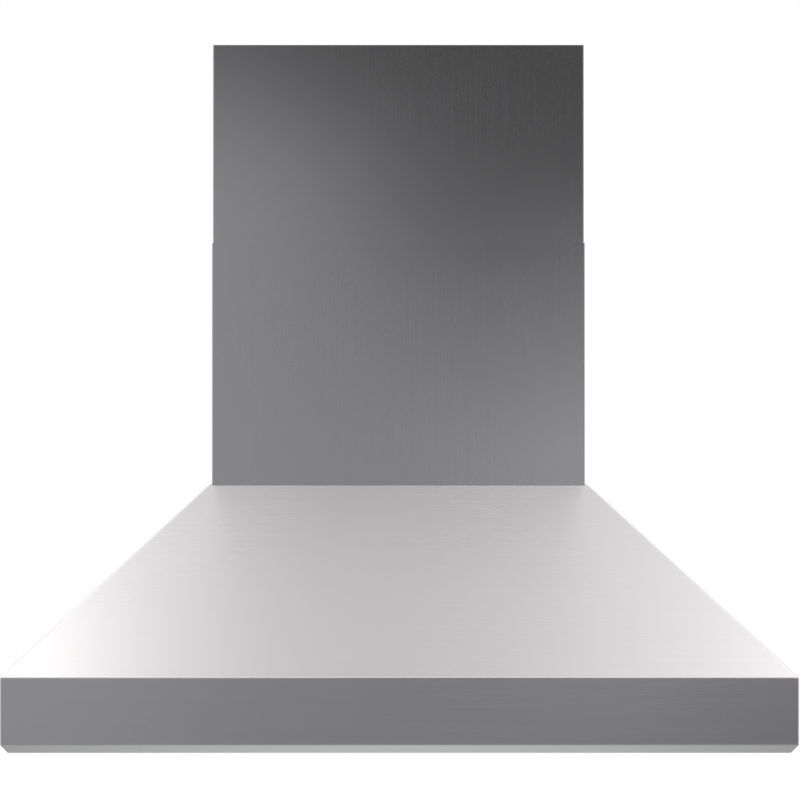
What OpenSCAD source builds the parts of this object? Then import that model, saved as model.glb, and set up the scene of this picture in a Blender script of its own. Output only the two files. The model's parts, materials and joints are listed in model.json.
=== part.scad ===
// Wall mount range hood: a pyramid canopy of folded sheet under a two-piece telescoping chimney.
// Millimetres, +Z up, the wall is the plane y = 0 and the hood stands out from it towards -Y.
// The origin is on the wall, on the centre line, at the hood's lowest edge.

/* [Canopy] */
// Width across the upright band
hood_w = 914; // [860:2:1060]
// Depth from the wall to the band
hood_d = 559; // [540:1:620]
// Height from the lowest edge to the chimney's foot
canopy_h = 300; // [290:1:360]
// Height of the upright band
band_h = 77; // [70:0.5:100]
// Height of the bevelled lip under the band
lip_h = 10; // [7:0.5:13]
// How far the lip runs in under the band
lip_in = 8; // [5:0.5:12]
// Width of the flange turned in under the lip
return_w = 18; // [12:1:22]
// Thickness of the canopy's sheet
sheet = 1; // [0.8:0.1:1.5]
// Ledge of the canopy's top round the chimney's foot
ledge = 4; // [2:0.5:8]
// Width of the flange turned in at the canopy's top
top_flange = 25; // [22:1:32]
// Thickness of the plate that carries the blower
plate_t = 1.2; // [1:0.1:2]

/* [Chimney] */
// Width of the lower cover
chimney_w = 457; // [440:1:500]
// Depth of the lower cover
chimney_d = 305; // [296:1:330]
// Height of the lower cover
lower_h = 297; // [280:1:400]
// Height of the upper cover
upper_h = 300; // [285:1:400]
// Height of the upper cover that stands above the lower one
upper_show = 243; // [200:1:250]
// Thickness of both covers' sheet
cover_t = 0.8; // [0.6:0.1:1.2]
// Sliding clearance between the two covers
cover_gap = 0.3; // [0.2:0.05:0.6]
// Width of the flanges that lie along the wall
wall_flange = 20; // [14:1:24]
// Width of the foot turned in under the lower cover
foot_w = 15; // [14:1:18]
// Thickness of the wall bracket's strip
bracket_t = 1.5; // [1:0.1:2]
// Height of the wall bracket's strip
bracket_h = 30; // [24:1:40]
// Distance between the wall bracket's two screw holes
bracket_pitch = 200; // [150:10:300]

/* [Wall fixing] */
// Radius of the wall screw holes
wall_hole_r = 4; // [3:0.25:5]
// Distance between the wall holes across the hood, which is the stud spacing
wall_pitch_x = 406; // [380:1:420]
// Distance between the wall holes up the hood
wall_pitch_z = 120; // [90:1:130]
// Height of the middle of the four wall holes
wall_mid_z = 190; // [170:1:200]

/* [Duct] */
// Outside radius of the collar
duct_r = 101; // [98:0.5:104]
// Thickness of the collar's sheet
collar_t = 1; // [0.8:0.1:1.5]
// Height of the collar above its flange
collar_h = 66; // [60:1:90]
// Width of the collar's flange
collar_flange = 18; // [15:1:20]
// Radius of the rod that the damper flaps swing on
rod_r = 2; // [1.5:0.1:2.5]
// Height of the damper rod above the blower plate
rod_up = 26; // [20:1:30]
// Thickness of the damper flaps
flap_t = 1; // [0.8:0.1:1.5]

/* [Blower] */
// Radius of the wheel over its blades
wheel_r = 78; // [70:1:80]
// Width of the wheel
wheel_w = 150; // [130:1:156]
// Number of blades round the wheel
blade_n = 36; // [28:1:44]
// Depth of a blade
blade_d = 14; // [11:1:16]
// Least gap from the wheel to the scroll
wheel_gap = 7; // [5:0.5:8]
// Gap from the wheel to each side of the scroll
side_gap = 5; // [4:0.5:8]
// Growth of the scroll's radius from its tongue to its outlet
scroll_grow = 17.5; // [12:0.5:20]
// Depth of the outlet
outlet_d = 110; // [100:1:116]
// Thickness of the scroll's sheet
scroll_t = 1; // [0.8:0.1:1.5]
// Width of the flange round the outlet
outlet_flange = 12; // [11:1:14]
// Radius of the two inlets
inlet_r = 62; // [58:1:63]
// Radius of the motor's body
motor_r = 36; // [30:1:40]
// Radius of the motor's shaft
shaft_r = 4; // [3:0.5:5]

/* [Filters] */
// Thickness of a filter
filter_t = 20; // [18:1:24]
// Gap between neighbouring filters
filter_gap = 2; // [1.5:0.5:4]
// Width of the frame's flanges over the baffles
filter_rim = 14; // [10:1:18]
// Thickness of the filter's sheet
filter_sheet = 1; // [0.8:0.1:1.2]
// Distance from one baffle to the next
baffle_pitch = 38; // [34:1:44]
// Width of a lower baffle
baffle_w = 30; // [27:1:31]
// Radius of the handle's wire
wire_r = 2.5; // [2:0.25:3]
// Width of the handle between its arms
handle_w = 80; // [70:2:90]
// Drop of the handle from its pivot to its grip
handle_drop = 25; // [18:1:26]

/* [Underside] */
// Height of the rails' underside above the lowest edge
rail_z = 30; // [28:1:34]
// Thickness of the rails' sheet
rail_t = 1; // [0.8:0.1:1.5]
// Height of the filter ledges above the rails' underside
step_h = 8; // [8:0.5:12]
// Width of the front ledge under the filters
ledge_w = 12; // [9:0.5:14]
// Depth of the front rail, which carries lamps and buttons
front_deck = 113; // [98:1:130]
// Width of the side rails
side_deck = 50; // [30:1:80]
// Distance from the wall to the filters' back ends
filter_back = 59; // [56:1:66]
// Depth of the gutter under the filters' back ends
gutter_d = 4; // [3.5:0.5:6]
// Height of the flanges by which the rails are welded in
weld_h = 20; // [12:1:26]
// Width of the grease tray
tray_w = 240; // [160:5:300]
// Depth of the grease tray from front to back
tray_d = 60; // [45:1:66]
// Height of the grease tray
tray_h = 16; // [10:1:18]

/* [Lamps and switches] */
// Distance of each lamp from the centre line
lamp_x = 300; // [260:5:340]
// Radius of the lamp's can
lamp_r = 30; // [26:1:32]
// Height of the lamp's can
can_h = 24; // [20:1:30]
// Width of the bezel round the lamp
bezel_w = 12; // [10:1:14]
// Distance from one button to the next
button_pitch = 30; // [24:1:32]
// Radius of a button's cap
button_r = 8; // [7:0.5:9]
// Travel of a button
button_travel = 3; // [2:0.25:3.5]
// Thickness of the control plate
control_t = 1.5; // [1:0.1:2]
// Depth of the control plate from front to back
control_d = 46; // [40:1:56]

/* [Hidden] */
$fn = 64;

filter_n = 3;        // filters side by side, one to a node
button_n = 5;        // push buttons, one to a node
seam = 0.3;          // gap left between sheets that are tacked edge to edge
rest = 0.3;          // gap under a loose piece at rest on its ledge
eps = 1;             // how far a cut runs past the face it opens
screw_r = 2;         // thread of every small screw
screw_gap = 0.1;     // clearance round that thread
head_r = 3.8;
head_h = 2.2;
run_gap = 0.08;      // running clearance of a pivot in its bore
steel = "silver";
bright = "gainsboro";
zinc = "lightgray";
dark = "dimgray";

half_w = hood_w / 2;
band_top = lip_h + band_h;
slope_h = canopy_h - band_top;
top_half = chimney_w / 2 + ledge;
top_front = chimney_d + ledge;
side_run = half_w - top_half;
front_run = hood_d - top_front;
// Sheet thickness measured level through each slope and through the lip
side_skin = sheet * norm([side_run, slope_h]) / slope_h;
front_skin = sheet * norm([front_run, slope_h]) / slope_h;
lip_skin = sheet * norm([lip_in, lip_h]) / lip_h;
plate_top = canopy_h - sheet;
plate_low = plate_top - plate_t;

// Inside half width and inside front of the slopes at a height
function slope_half(z) = half_w - (z - band_top) * side_run / slope_h - side_skin;
function slope_front(z) = hood_d - (z - band_top) * front_run / slope_h - front_skin;

// Level outlines of the canopy, each [half width, front, height]
outer_levels = [
  [half_w - lip_in, hood_d - lip_in, 0],
  [half_w, hood_d, lip_h],
  [half_w, hood_d, band_top],
  [top_half, top_front, canopy_h]];
lip_turn = lip_h + (lip_skin - sheet) * lip_h / lip_in;
slope_turn = band_top - (side_skin - sheet) * slope_h / side_run;
lip_foot = lip_in * (1 - sheet / lip_h) + lip_skin;
inner_levels = [
  [half_w - lip_foot, hood_d - lip_foot, sheet],
  [half_w - sheet, hood_d - sheet, lip_turn],
  [half_w - sheet, hood_d - sheet, slope_turn],
  [slope_half(plate_top), slope_front(plate_top), plate_top]];

// Closed solid through level outlines, with a flat back at y = back
module loft(levels, back = 0) {
  n = len(levels);
  points = [for (l = levels) each
    [[-l[0], -l[1], l[2]], [l[0], -l[1], l[2]], [l[0], back, l[2]], [-l[0], back, l[2]]]];
  walls = [for (i = [0 : n - 2], k = [0 : 3])
    [4 * i + k, 4 * i + 4 + k, 4 * i + 4 + (k + 1) % 4, 4 * i + (k + 1) % 4]];
  polyhedron(points, concat([[0, 1, 2, 3]], walls, [[for (k = [1 : 4]) 4 * n - k]]));
}

// Box between two corners
module block(low, high) {
  translate(low) cube(high - low);
}

// Box mirrored to both sides of the centre line
module both_blocks(low, high) {
  for (side = [0, 1]) mirror([side, 0, 0]) block(low, high);
}

// Cylinder along X from x0 to x1
module bar_x(r, x0, x1) {
  translate([x0, 0, 0]) rotate([0, 90, 0]) cylinder(r = r, h = x1 - x0);
}

// Pan head screw: the head's underside is at the origin and the thread points down
module screw(reach) {
  union() {
    translate([0, 0, -reach]) cylinder(r = screw_r, h = reach + head_h / 2);
    cylinder(r = head_r, h = head_h * 0.6);
    translate([0, 0, head_h * 0.6]) cylinder(r1 = head_r, r2 = head_r * 0.72, h = head_h * 0.4);
  }
}

module screw_hole(depth) {
  translate([0, 0, -depth / 2]) cylinder(r = screw_r + screw_gap, h = depth);
}

// Canopy

// Places of the screws that hold the chimney's foot on the canopy
foot_line = cover_t + foot_w / 2;
foot_screws = [for (s = [-1, 1]) each [
  [s * chimney_w / 4, -(chimney_d - foot_line)],
  [s * (chimney_w / 2 - foot_line), -chimney_d * 0.7],
  [s * (chimney_w / 2 - foot_line), -chimney_d * 0.25]]];

module canopy_shell() {
  hole_half = half_w - lip_in - return_w;
  hole_front = hood_d - lip_in - return_w;
  color(steel) difference() {
    loft(outer_levels);
    loft(inner_levels, eps);
    block([-hole_half, -hole_front, -eps], [hole_half, eps, sheet + eps]);
    block([-(top_half - top_flange), -(top_front - top_flange), plate_top - eps],
      [top_half - top_flange, eps, canopy_h + eps]);
    for (p = foot_screws) translate([p.x, p.y, canopy_h]) screw_hole(4);
  }
}

// Back panel, cut to the inside of the canopy, with a flange along its foot
module back_panel() {
  low_half = half_w - lip_foot - seam;
  color(steel) rotate([90, 0, 0]) difference() {
    union() {
      linear_extrude(sheet) polygon([
        [-low_half, sheet], [-(half_w - sheet - seam), lip_turn],
        [-(half_w - sheet - seam), slope_turn], [-(slope_half(plate_low) - seam), plate_low],
        [slope_half(plate_low) - seam, plate_low], [half_w - sheet - seam, slope_turn],
        [half_w - sheet - seam, lip_turn], [low_half, sheet]]);
      translate([-(half_w - lip_in - return_w - seam), 0, 0])
        cube([2 * (half_w - lip_in - return_w - seam), sheet, return_w]);
      translate([-(half_w - lip_in - return_w - seam), 0, 0])
        cube([2 * (half_w - lip_in - return_w - seam), 2 * sheet, sheet]);
    }
    for (x = [-1, 1], z = [-1, 1])
      translate([x * wall_pitch_x / 2, wall_mid_z + z * wall_pitch_z / 2, -eps])
        cylinder(r = wall_hole_r, h = sheet + 2 * eps);
  }
}

// Blower plate

duct_y = chimney_d / 2;
blower_w = wheel_w + 2 * side_gap;
collar_pitch_r = duct_r + collar_flange / 2;
collar_screw_at = [for (a = [45 : 90 : 315]) collar_pitch_r * [cos(a), sin(a)]];
outlet_screw_at = [for (x = [-1, 1], y = [-1, 1])
  [x * (blower_w / 2 + outlet_flange / 2 + scroll_t / 2),
    y * (outlet_d / 2 + outlet_flange / 2 + scroll_t / 2)]];
lead_hole_r = 5;
// The junction box and the lamp driver stand between the collar's flange and the canopy's top flange
top_open = top_half - top_flange;
collar_out = duct_r + collar_flange;
box_t = 1.2;
box_back = 60;       // from the wall to the backs of both boxes
box_in = collar_out + 9;
box_out = top_open - 9.5;
box_size = [box_out - box_in, 90, 42];
box_x = (box_in + box_out) / 2;
driver_in = collar_out + 6;
driver_out = top_open - 22.5;
driver_size = [driver_out - driver_in, 90, 26];
driver_x = -(driver_in + driver_out) / 2;
box_mid_y = -(box_back + box_size.y / 2);
lead_step = 18;      // from the driver's side to the hole of the left lamp's lead
lead_apart = 8;      // from that hole to the right lamp's, across the hood
lead_pitch = 20;     // from the motor's lead to the switch lead
lead_at = [box_x - 13, box_mid_y + 5];
switch_lead_at = [lead_at.x + lead_pitch, lead_at.y];
lamp_lead_at = [for (s = [0, 1])
  [-driver_out - lead_step + lead_apart * s, -(box_back + 25 + 40 * s)]];

module top_plate() {
  half = slope_half(plate_top) - seam;
  front = slope_front(plate_top) - seam;
  color(zinc) difference() {
    block([-half, -front, plate_low], [half, -sheet - seam, plate_top]);
    block([-blower_w / 2, -(duct_y + outlet_d / 2), plate_low - eps],
      [blower_w / 2, -(duct_y - outlet_d / 2), plate_top + eps]);
    for (p = foot_screws) translate([p.x, p.y, plate_top]) screw_hole(4);
    for (p = collar_screw_at) translate([p.x, p.y - duct_y, plate_top]) screw_hole(4);
    for (p = outlet_screw_at) translate([p.x, p.y - duct_y, plate_top]) screw_hole(4);
    for (p = concat([lead_at, switch_lead_at], lamp_lead_at))
      translate([p.x, p.y, plate_low - eps]) cylinder(r = lead_hole_r, h = plate_t + 2 * eps);
  }
}

// Duct collar and its two damper flaps

rod_z = plate_top + rod_up;
bore_r = duct_r - collar_t;
stop_w = 5;          // inward reach of the ring that the flaps close on
flap_r = bore_r - 1.5;
knuckle_r = rod_r + 1.6;
knuckle_n = 7;
knuckle_l = 2 * (flap_r - 12) / knuckle_n;
flap_from = knuckle_r + 1.4;

module duct_collar() {
  color(zinc) translate([0, -duct_y, 0]) difference() {
    union() {
      translate([0, 0, plate_top]) cylinder(r = duct_r, h = collar_h);
      translate([0, 0, plate_top]) cylinder(r = collar_out, h = collar_t);
    }
    translate([0, 0, plate_top - eps]) cylinder(r = bore_r - stop_w, h = collar_h);
    translate([0, 0, plate_top - eps]) cylinder(r = bore_r, h = rod_up - flap_t / 2 - 2 - seam + eps);
    translate([0, 0, rod_z - flap_t / 2 - seam]) cylinder(r = bore_r, h = collar_h);
    translate([0, 0, rod_z]) bar_x(rod_r + run_gap / 2, -duct_r - eps, duct_r + eps);
    for (p = collar_screw_at) translate([p.x, p.y, plate_top]) screw_hole(4);
  }
}

module damper_rod() {
  color(zinc) translate([0, -duct_y, rod_z]) bar_x(rod_r, -duct_r, duct_r);
}

// Half disc on every other knuckle: side is -1 for the front flap and 1 for the rear one
module damper_flap(side) {
  gap = 0.4;
  color("darkgray") translate([0, -duct_y, rod_z]) difference() {
    union() {
      intersection() {
        translate([0, 0, -flap_t / 2]) cylinder(r = flap_r, h = flap_t);
        translate([-duct_r, side > 0 ? flap_from : -flap_from - duct_r, -flap_t])
          cube([2 * duct_r, duct_r, 2 * flap_t]);
      }
      for (i = [side > 0 ? 0 : 1 : 2 : knuckle_n - 1]) {
        x0 = (i - knuckle_n / 2) * knuckle_l;
        bar_x(knuckle_r, x0 + gap, x0 + knuckle_l - gap);
        translate([x0 + gap, side > 0 ? 0 : -flap_from - 1, -flap_t / 2])
          cube([knuckle_l - 2 * gap, flap_from + 1, flap_t]);
      }
    }
    bar_x(rod_r + run_gap, -duct_r, duct_r);
  }
}

// Blower

tongue_r = wheel_r + wheel_gap;
scroll_r = tongue_r + scroll_grow;
blower_y = -(duct_y + outlet_d / 2 - scroll_r);
outlet_up = tongue_r + 8;
blower_z = plate_low - outlet_up;
tongue_x = outlet_d - scroll_r;

// Outline of the scroll's inside grown by t, as [towards the wall, up], open at the outlet by over
function scroll_outline(t, over) =
  let (first = acos((tongue_x + t) / (tongue_r + t)), steps = 30)
  concat([for (i = [0 : steps])
      let (a = first - (first + 180) * i / steps,
        r = tongue_r + t + scroll_grow * (first - a) / (first + 180))
      r * [cos(a), sin(a)]],
    [[-(scroll_r + t), outlet_up + over], [tongue_x + t, outlet_up + over]]);

// Stands a [towards the wall, up] profile across the hood, from x0 to x1
module across(x0, x1) {
  translate([x0, 0, 0]) rotate([90, 0, 90]) linear_extrude(x1 - x0) children();
}

module at_blower() {
  translate([0, blower_y, blower_z]) children();
}

module blower_scroll() {
  w = blower_w / 2;
  color(zinc) difference() {
    union() {
      at_blower() across(-w, w) polygon(scroll_outline(scroll_t, 0));
      block([-(w + outlet_flange), -(duct_y + outlet_d / 2 + outlet_flange), plate_low - scroll_t],
        [w + outlet_flange, -(duct_y - outlet_d / 2 - outlet_flange), plate_low]);
    }
    at_blower() across(-w - eps, w + eps) polygon(scroll_outline(0, eps));
    block([-w, -(duct_y + outlet_d / 2), plate_low - scroll_t - eps],
      [w, -(duct_y - outlet_d / 2), plate_low + eps]);
    for (p = outlet_screw_at) translate([p.x, p.y - duct_y, plate_low]) screw_hole(4);
  }
}

bell_d = 4;          // depth of the inlet's rolled edge
foot_r = inlet_r + 12;
grommet_r = 6;
grommet_h = 6;
arm_angles = [90, 210, 330];

// Side plate of the scroll on the right, with the inlet rolled in; the left one is its mirror image
module side_plate(bracket_holes) {
  x = blower_w / 2;
  difference() {
    union() {
      across(x, x + scroll_t) polygon(scroll_outline(scroll_t, -scroll_t));
      translate([x - bell_d, 0, 0]) rotate([0, 90, 0])
        cylinder(r1 = inlet_r + scroll_t, r2 = inlet_r + bell_d + scroll_t, h = bell_d);
    }
    translate([x - bell_d, 0, 0]) rotate([0, 90, 0])
      cylinder(r1 = inlet_r, r2 = inlet_r + bell_d, h = bell_d);
    bar_x(inlet_r + bell_d, x, x + scroll_t + eps);
    bar_x(inlet_r, x - bell_d - eps, x);
    if (bracket_holes) for (a = arm_angles) rotate([a, 0, 0]) translate([0, foot_r, 0])
      bar_x(screw_r + screw_gap, x - eps, x + scroll_t + eps);
  }
}

module blower_side_left() {
  color(zinc) at_blower() mirror([1, 0, 0]) side_plate(false);
}

module blower_side_right() {
  color(zinc) at_blower() side_plate(true);
}

// Motor, on three rubber mounts at the right inlet

bracket_x = blower_w / 2 + scroll_t + grommet_h;
spider_t = 1.5;
motor_in = 14;       // from the wheel's middle disc to the motor's face
shaft_bore = 50;     // depth of the bore in the motor
motor_flange_x = bracket_x + spider_t;
motor_end = motor_flange_x + 15;

module motor_grommets() {
  color("black") at_blower() for (a = arm_angles) rotate([a, 0, 0]) translate([0, foot_r, 0])
    difference() {
      bar_x(grommet_r, bracket_x - grommet_h, bracket_x);
      bar_x(screw_r + screw_gap, bracket_x - grommet_h - eps, bracket_x + eps);
    }
}

module motor_bracket() {
  color(zinc) at_blower() difference() {
    union() {
      bar_x(motor_r + 8, bracket_x, bracket_x + spider_t);
      for (a = arm_angles) rotate([a, 0, 0]) {
        block([bracket_x, 0, -grommet_r], [bracket_x + spider_t, foot_r, grommet_r]);
        translate([0, foot_r, 0]) bar_x(grommet_r, bracket_x, bracket_x + spider_t);
      }
    }
    bar_x(motor_r + seam, bracket_x - eps, bracket_x + spider_t + eps);
    for (a = arm_angles) rotate([a, 0, 0]) translate([0, foot_r, 0])
      bar_x(screw_r + screw_gap, bracket_x - eps, bracket_x + spider_t + eps);
  }
}

module motor() {
  color(dark) at_blower() difference() {
    union() {
      bar_x(motor_r, motor_in, motor_flange_x);
      bar_x(motor_r + 5, motor_flange_x, motor_flange_x + 2);
      bar_x(motor_r - 3, motor_flange_x, motor_end);
      bar_x(shaft_r + 6, motor_in - 3, motor_in);
    }
    bar_x(shaft_r + run_gap, motor_in - 3 - eps, motor_in + shaft_bore);
  }
}

module motor_shaft() {
  color(bright) at_blower() bar_x(shaft_r, -12, motor_in + shaft_bore - 4);
}

// Blower wheel: a middle disc on a hub, an end ring each side, and forward curved blades
module impeller() {
  disc_t = 1.5;
  ring_w = 5;
  blade_t = 0.8;
  blade_lean = 24;
  tip_r = wheel_r - 0.5;
  color("lightsteelblue") at_blower() difference() {
    union() {
      bar_x(tip_r - 3, -disc_t / 2, disc_t / 2);
      bar_x(shaft_r + 7, -11, 9);
      for (s = [-1, 1]) translate([s * (wheel_w - ring_w) / 2, 0, 0]) difference() {
        bar_x(wheel_r, -ring_w / 2, ring_w / 2);
        bar_x(wheel_r - 3, -ring_w / 2 - eps, ring_w / 2 + eps);
      }
      for (i = [0 : blade_n - 1]) rotate([360 * i / blade_n, 0, 0])
        translate([-wheel_w / 2 + 0.5, tip_r - blade_d, 0]) rotate([blade_lean, 0, 0])
          translate([0, 0, -blade_t / 2]) cube([wheel_w - 1, blade_d, blade_t]);
    }
    bar_x(shaft_r + run_gap / 2, -11 - eps, 9 + eps);
  }
}

// Boxes on the blower plate

knockout_r = 11.1;

// Folded pan with a plate tacked on top, which has the knockout for the supply cable
module junction_box() {
  low = [box_in, -(box_back + box_size.y), plate_top];
  high = [box_out, -box_back, plate_top + box_size.z];
  rim = high.z - box_t;
  color(zinc) {
    difference() {
      block(low, [high.x, high.y, rim - seam]);
      block(low + [box_t, -eps, box_t], [high.x - box_t, high.y - box_t, high.z]);
      for (p = [lead_at, switch_lead_at])
        translate([p.x, p.y, plate_top - eps]) cylinder(r = lead_hole_r, h = box_t + 2 * eps);
    }
    difference() {
      block([low.x, low.y, rim], high);
      translate([box_x, box_mid_y, rim - eps]) cylinder(r = knockout_r, h = box_t + 2 * eps);
    }
  }
}

module junction_box_cover() {
  y = -(box_back + box_size.y);
  color(zinc) union() {
    block([box_in, y - box_t, plate_top], [box_out, y, plate_top + box_size.z]);
    for (s = [-1, 1]) translate([box_x + s * box_size.x * 0.4, y - box_t, plate_top + box_size.z / 2])
      rotate([90, 0, 0]) cylinder(r = head_r, h = head_h);
  }
}

driver_tab = [24, 12, 3];

module led_driver() {
  back = box_back + driver_size.y;
  color("whitesmoke") difference() {
    union() {
      block([-driver_out, -back, plate_top], [-driver_in, -box_back, plate_top + driver_size.z]);
      block([driver_x - driver_tab.x / 2, -(back + driver_tab.y), plate_top],
        [driver_x + driver_tab.x / 2, -(box_back - driver_tab.y), plate_top + driver_tab.z]);
    }
    for (y = [box_back - driver_tab.y / 2, back + driver_tab.y / 2])
      translate([driver_x, -y, plate_top + driver_tab.z / 2]) screw_hole(driver_tab.z + 2 * eps);
  }
}

cap_r = 17;
cap_h = 55;
cap_grip = 0.2;      // clearance of the clip round the capacitor
clip_tab = 18;
clip_margin = 4.5;   // from the canopy's top flange to the clip
cap_at = [top_open - clip_margin - clip_tab - cap_r, -(box_back + box_size.y + 75)];
tab_pitch = 10;      // between the capacitor's two tabs
tab_h = 8;

module capacitor() {
  color("whitesmoke") translate([cap_at.x, cap_at.y, plate_top]) union() {
    cylinder(r = cap_r, h = cap_h);
    for (s = [-1, 1]) translate([s * tab_pitch / 2 - 0.4, -3, cap_h]) cube([0.8, 6, tab_h]);
  }
}

module capacitor_clip() {
  color(zinc) translate([cap_at.x, cap_at.y, plate_top]) difference() {
    union() {
      cylinder(r = cap_r + cap_grip + 1, h = 14);
      block([cap_r, -7, 0], [cap_r + clip_tab, 7, 1.5]);
    }
    translate([0, 0, -eps]) cylinder(r = cap_r + cap_grip, h = 14 + 2 * eps);
    translate([cap_r + clip_tab * 0.6, 0, 0]) screw_hole(6);
  }
}

// Chimney

lower_top = canopy_h + lower_h;
upper_top = lower_top + upper_show;
upper_low = upper_top - upper_h;
inset = cover_t + cover_gap;   // from the lower cover's face to the upper cover's face
upper_half = chimney_w / 2 - inset;
upper_front = chimney_d - inset;

// Three-sided cover with flanges along the wall, between heights z0 and z1
module cover(half, front, back, z0, z1) {
  difference() {
    block([-half, -front, z0], [half, -back, z1]);
    block([-(half - cover_t), -(front - cover_t), z0 - eps],
      [half - cover_t, -(back + cover_t), z1 + eps]);
    block([-(half - wall_flange), -(back + cover_t + eps), z0 - eps],
      [half - wall_flange, -back + eps, z1 + eps]);
  }
}

module lower_chimney() {
  half = chimney_w / 2;
  color(steel) difference() {
    union() {
      cover(half, chimney_d, 0, canopy_h, lower_top);
      difference() {
        block([-half, -chimney_d, canopy_h], [half, -cover_t, canopy_h + cover_t]);
        block([-(half - cover_t - foot_w), -(chimney_d - cover_t - foot_w), canopy_h - eps],
          [half - cover_t - foot_w, eps, canopy_h + cover_t + eps]);
      }
    }
    for (p = foot_screws) translate([p.x, p.y, canopy_h]) screw_hole(4);
  }
}

arm_drop = 4;        // from the upper cover's top to the bracket
arm_z = upper_top - arm_drop - bracket_h / 2;
arm_half = upper_half - cover_t;
arm_reach = 45;      // from the wall to the end of the bracket's arms
arm_screw_y = -(arm_reach - 13);
arm_clear = 5;       // from the upper cover's wall flange to the arm that steps round it

module upper_chimney() {
  color(steel) difference() {
    cover(upper_half, upper_front, inset, upper_low, upper_top);
    for (s = [-1, 1]) translate([s * (upper_half - cover_t / 2), arm_screw_y, arm_z])
      rotate([0, 90, 0]) screw_hole(4);
  }
}

// Strip on the wall between the cover's flanges, with an arm along each of the cover's sides
module upper_bracket() {
  plate_half = upper_half - wall_flange - arm_clear * 0.4;
  z0 = arm_z - bracket_h / 2;
  z1 = arm_z + bracket_h / 2;
  jog = inset + cover_t + arm_clear;
  color(zinc) difference() {
    union() {
      block([-plate_half, -bracket_t, z0], [plate_half, 0, z1]);
      both_blocks([plate_half - bracket_t, -jog - bracket_t, z0], [plate_half, 0, z1]);
      both_blocks([plate_half - bracket_t, -jog - bracket_t, z0], [arm_half, -jog, z1]);
      both_blocks([arm_half - bracket_t, -arm_reach, z0], [arm_half, -jog, z1]);
    }
    for (s = [-1, 1]) {
      translate([s * bracket_pitch / 2, -bracket_t - eps, arm_z]) rotate([-90, 0, 0])
        cylinder(r = 3, h = bracket_t + 2 * eps);
      translate([s * (arm_half - bracket_t / 2), arm_screw_y, arm_z])
        rotate([0, 90, 0]) screw_hole(4);
    }
  }
}

// Rails round the filters

ledge_z = rail_z + step_h;
bay_gap = 2;         // room in front of and behind the filters
front_wall = hood_d - sheet - front_deck;
filter_front = front_wall - bay_gap;
rear_wall = filter_back - bay_gap;
gutter_w = 15;
stop_h = 6;          // height of the rear stop above the ledge
filter_low = ledge_z + rest;
bay_half = half_w - sheet - side_deck;
filter_w = (2 * bay_half - filter_gap * (filter_n + 1)) / filter_n;
lamp_y = -(hood_d - sheet + front_wall) / 2;

function filter_x(i) = (i - (filter_n - 1) / 2) * (filter_w + filter_gap);
function button_x(i) = (i - (button_n - 1) / 2) * button_pitch;

module front_rail() {
  half = half_w - sheet - seam;
  back = -(hood_d - sheet);
  color(steel) difference() {
    union() {
      block([-half, back, rail_z], [half, -front_wall, rail_z + rail_t]);
      block([-half, back, rail_z], [half, back + rail_t, rail_z + weld_h]);
      block([-half, -(front_wall + rail_t), rail_z], [half, -front_wall, ledge_z + filter_t]);
      block([-half, -(front_wall + rail_t), ledge_z - rail_t],
        [half, -(front_wall - ledge_w), ledge_z]);
    }
    for (s = [-1, 1]) translate([s * lamp_x, lamp_y, rail_z - eps])
      cylinder(r = lamp_r + seam, h = rail_t + 2 * eps);
    for (i = [0 : button_n - 1]) translate([button_x(i), lamp_y, rail_z - eps])
      cylinder(r = button_r + 2, h = rail_t + 2 * eps);
    for (s = [-1, 1]) translate([s * control_screw_x, lamp_y, rail_z]) screw_hole(4);
  }
}

module rear_rail() {
  half = half_w - sheet - seam;
  gutter_z = ledge_z - gutter_d;
  lip_y = -(rear_wall + gutter_w);
  color(steel) difference() {
    union() {
      block([-half, -rear_wall, rail_z], [half, -sheet, rail_z + rail_t]);
      block([-half, -(sheet + rail_t), rail_z], [half, -sheet, rail_z + weld_h]);
      block([-half, -rear_wall, rail_z], [half, -(rear_wall - rail_t), ledge_z + stop_h]);
      block([-half, lip_y, gutter_z - rail_t], [half, -(rear_wall - rail_t), gutter_z]);
      block([-half, lip_y, gutter_z - rail_t], [half, lip_y + rail_t, ledge_z]);
    }
    for (s = [-1, 0, 1]) translate([s * tray_w / 3, lip_y + gutter_w / 2, gutter_z - rail_t - eps])
      cylinder(r = 4, h = rail_t + 2 * eps);
  }
}

// Side rail on the right, between the front and rear rails; the left one is its mirror image
module side_rail() {
  back = -(rear_wall + gutter_w + seam);
  front = -(front_wall - ledge_w - seam);
  outer = half_w - sheet;
  union() {
    block([bay_half, front, rail_z], [outer, back, rail_z + rail_t]);
    block([outer - rail_t, front, rail_z], [outer, back, rail_z + weld_h]);
    block([bay_half, front, rail_z], [bay_half + rail_t, back, ledge_z + filter_t]);
  }
}

module side_rail_right() {
  color(steel) side_rail();
}

module side_rail_left() {
  color(steel) mirror([1, 0, 0]) side_rail();
}

// Grease tray on its runners under the gutter

runner_w = 10;
tray_top = rail_z - 1;
tray_low = tray_top - tray_h;
tray_lip = 6;
tray_back = 16;
tray_grip = 60;      // width of the tray's pull
tray_front = tray_back + tray_d;

module tray_runners() {
  x = tray_w / 2 + seam;
  color(zinc) for (s = [0, 1]) mirror([s, 0, 0]) union() {
    block([x + tray_lip + seam, -(rear_wall - seam), tray_top - 6],
      [x + tray_lip + seam + 1, -tray_back, rail_z]);
    block([x, -(rear_wall - seam), tray_top - 6],
      [x + tray_lip + seam + 1, -tray_back, tray_top - 5]);
  }
}

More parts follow.
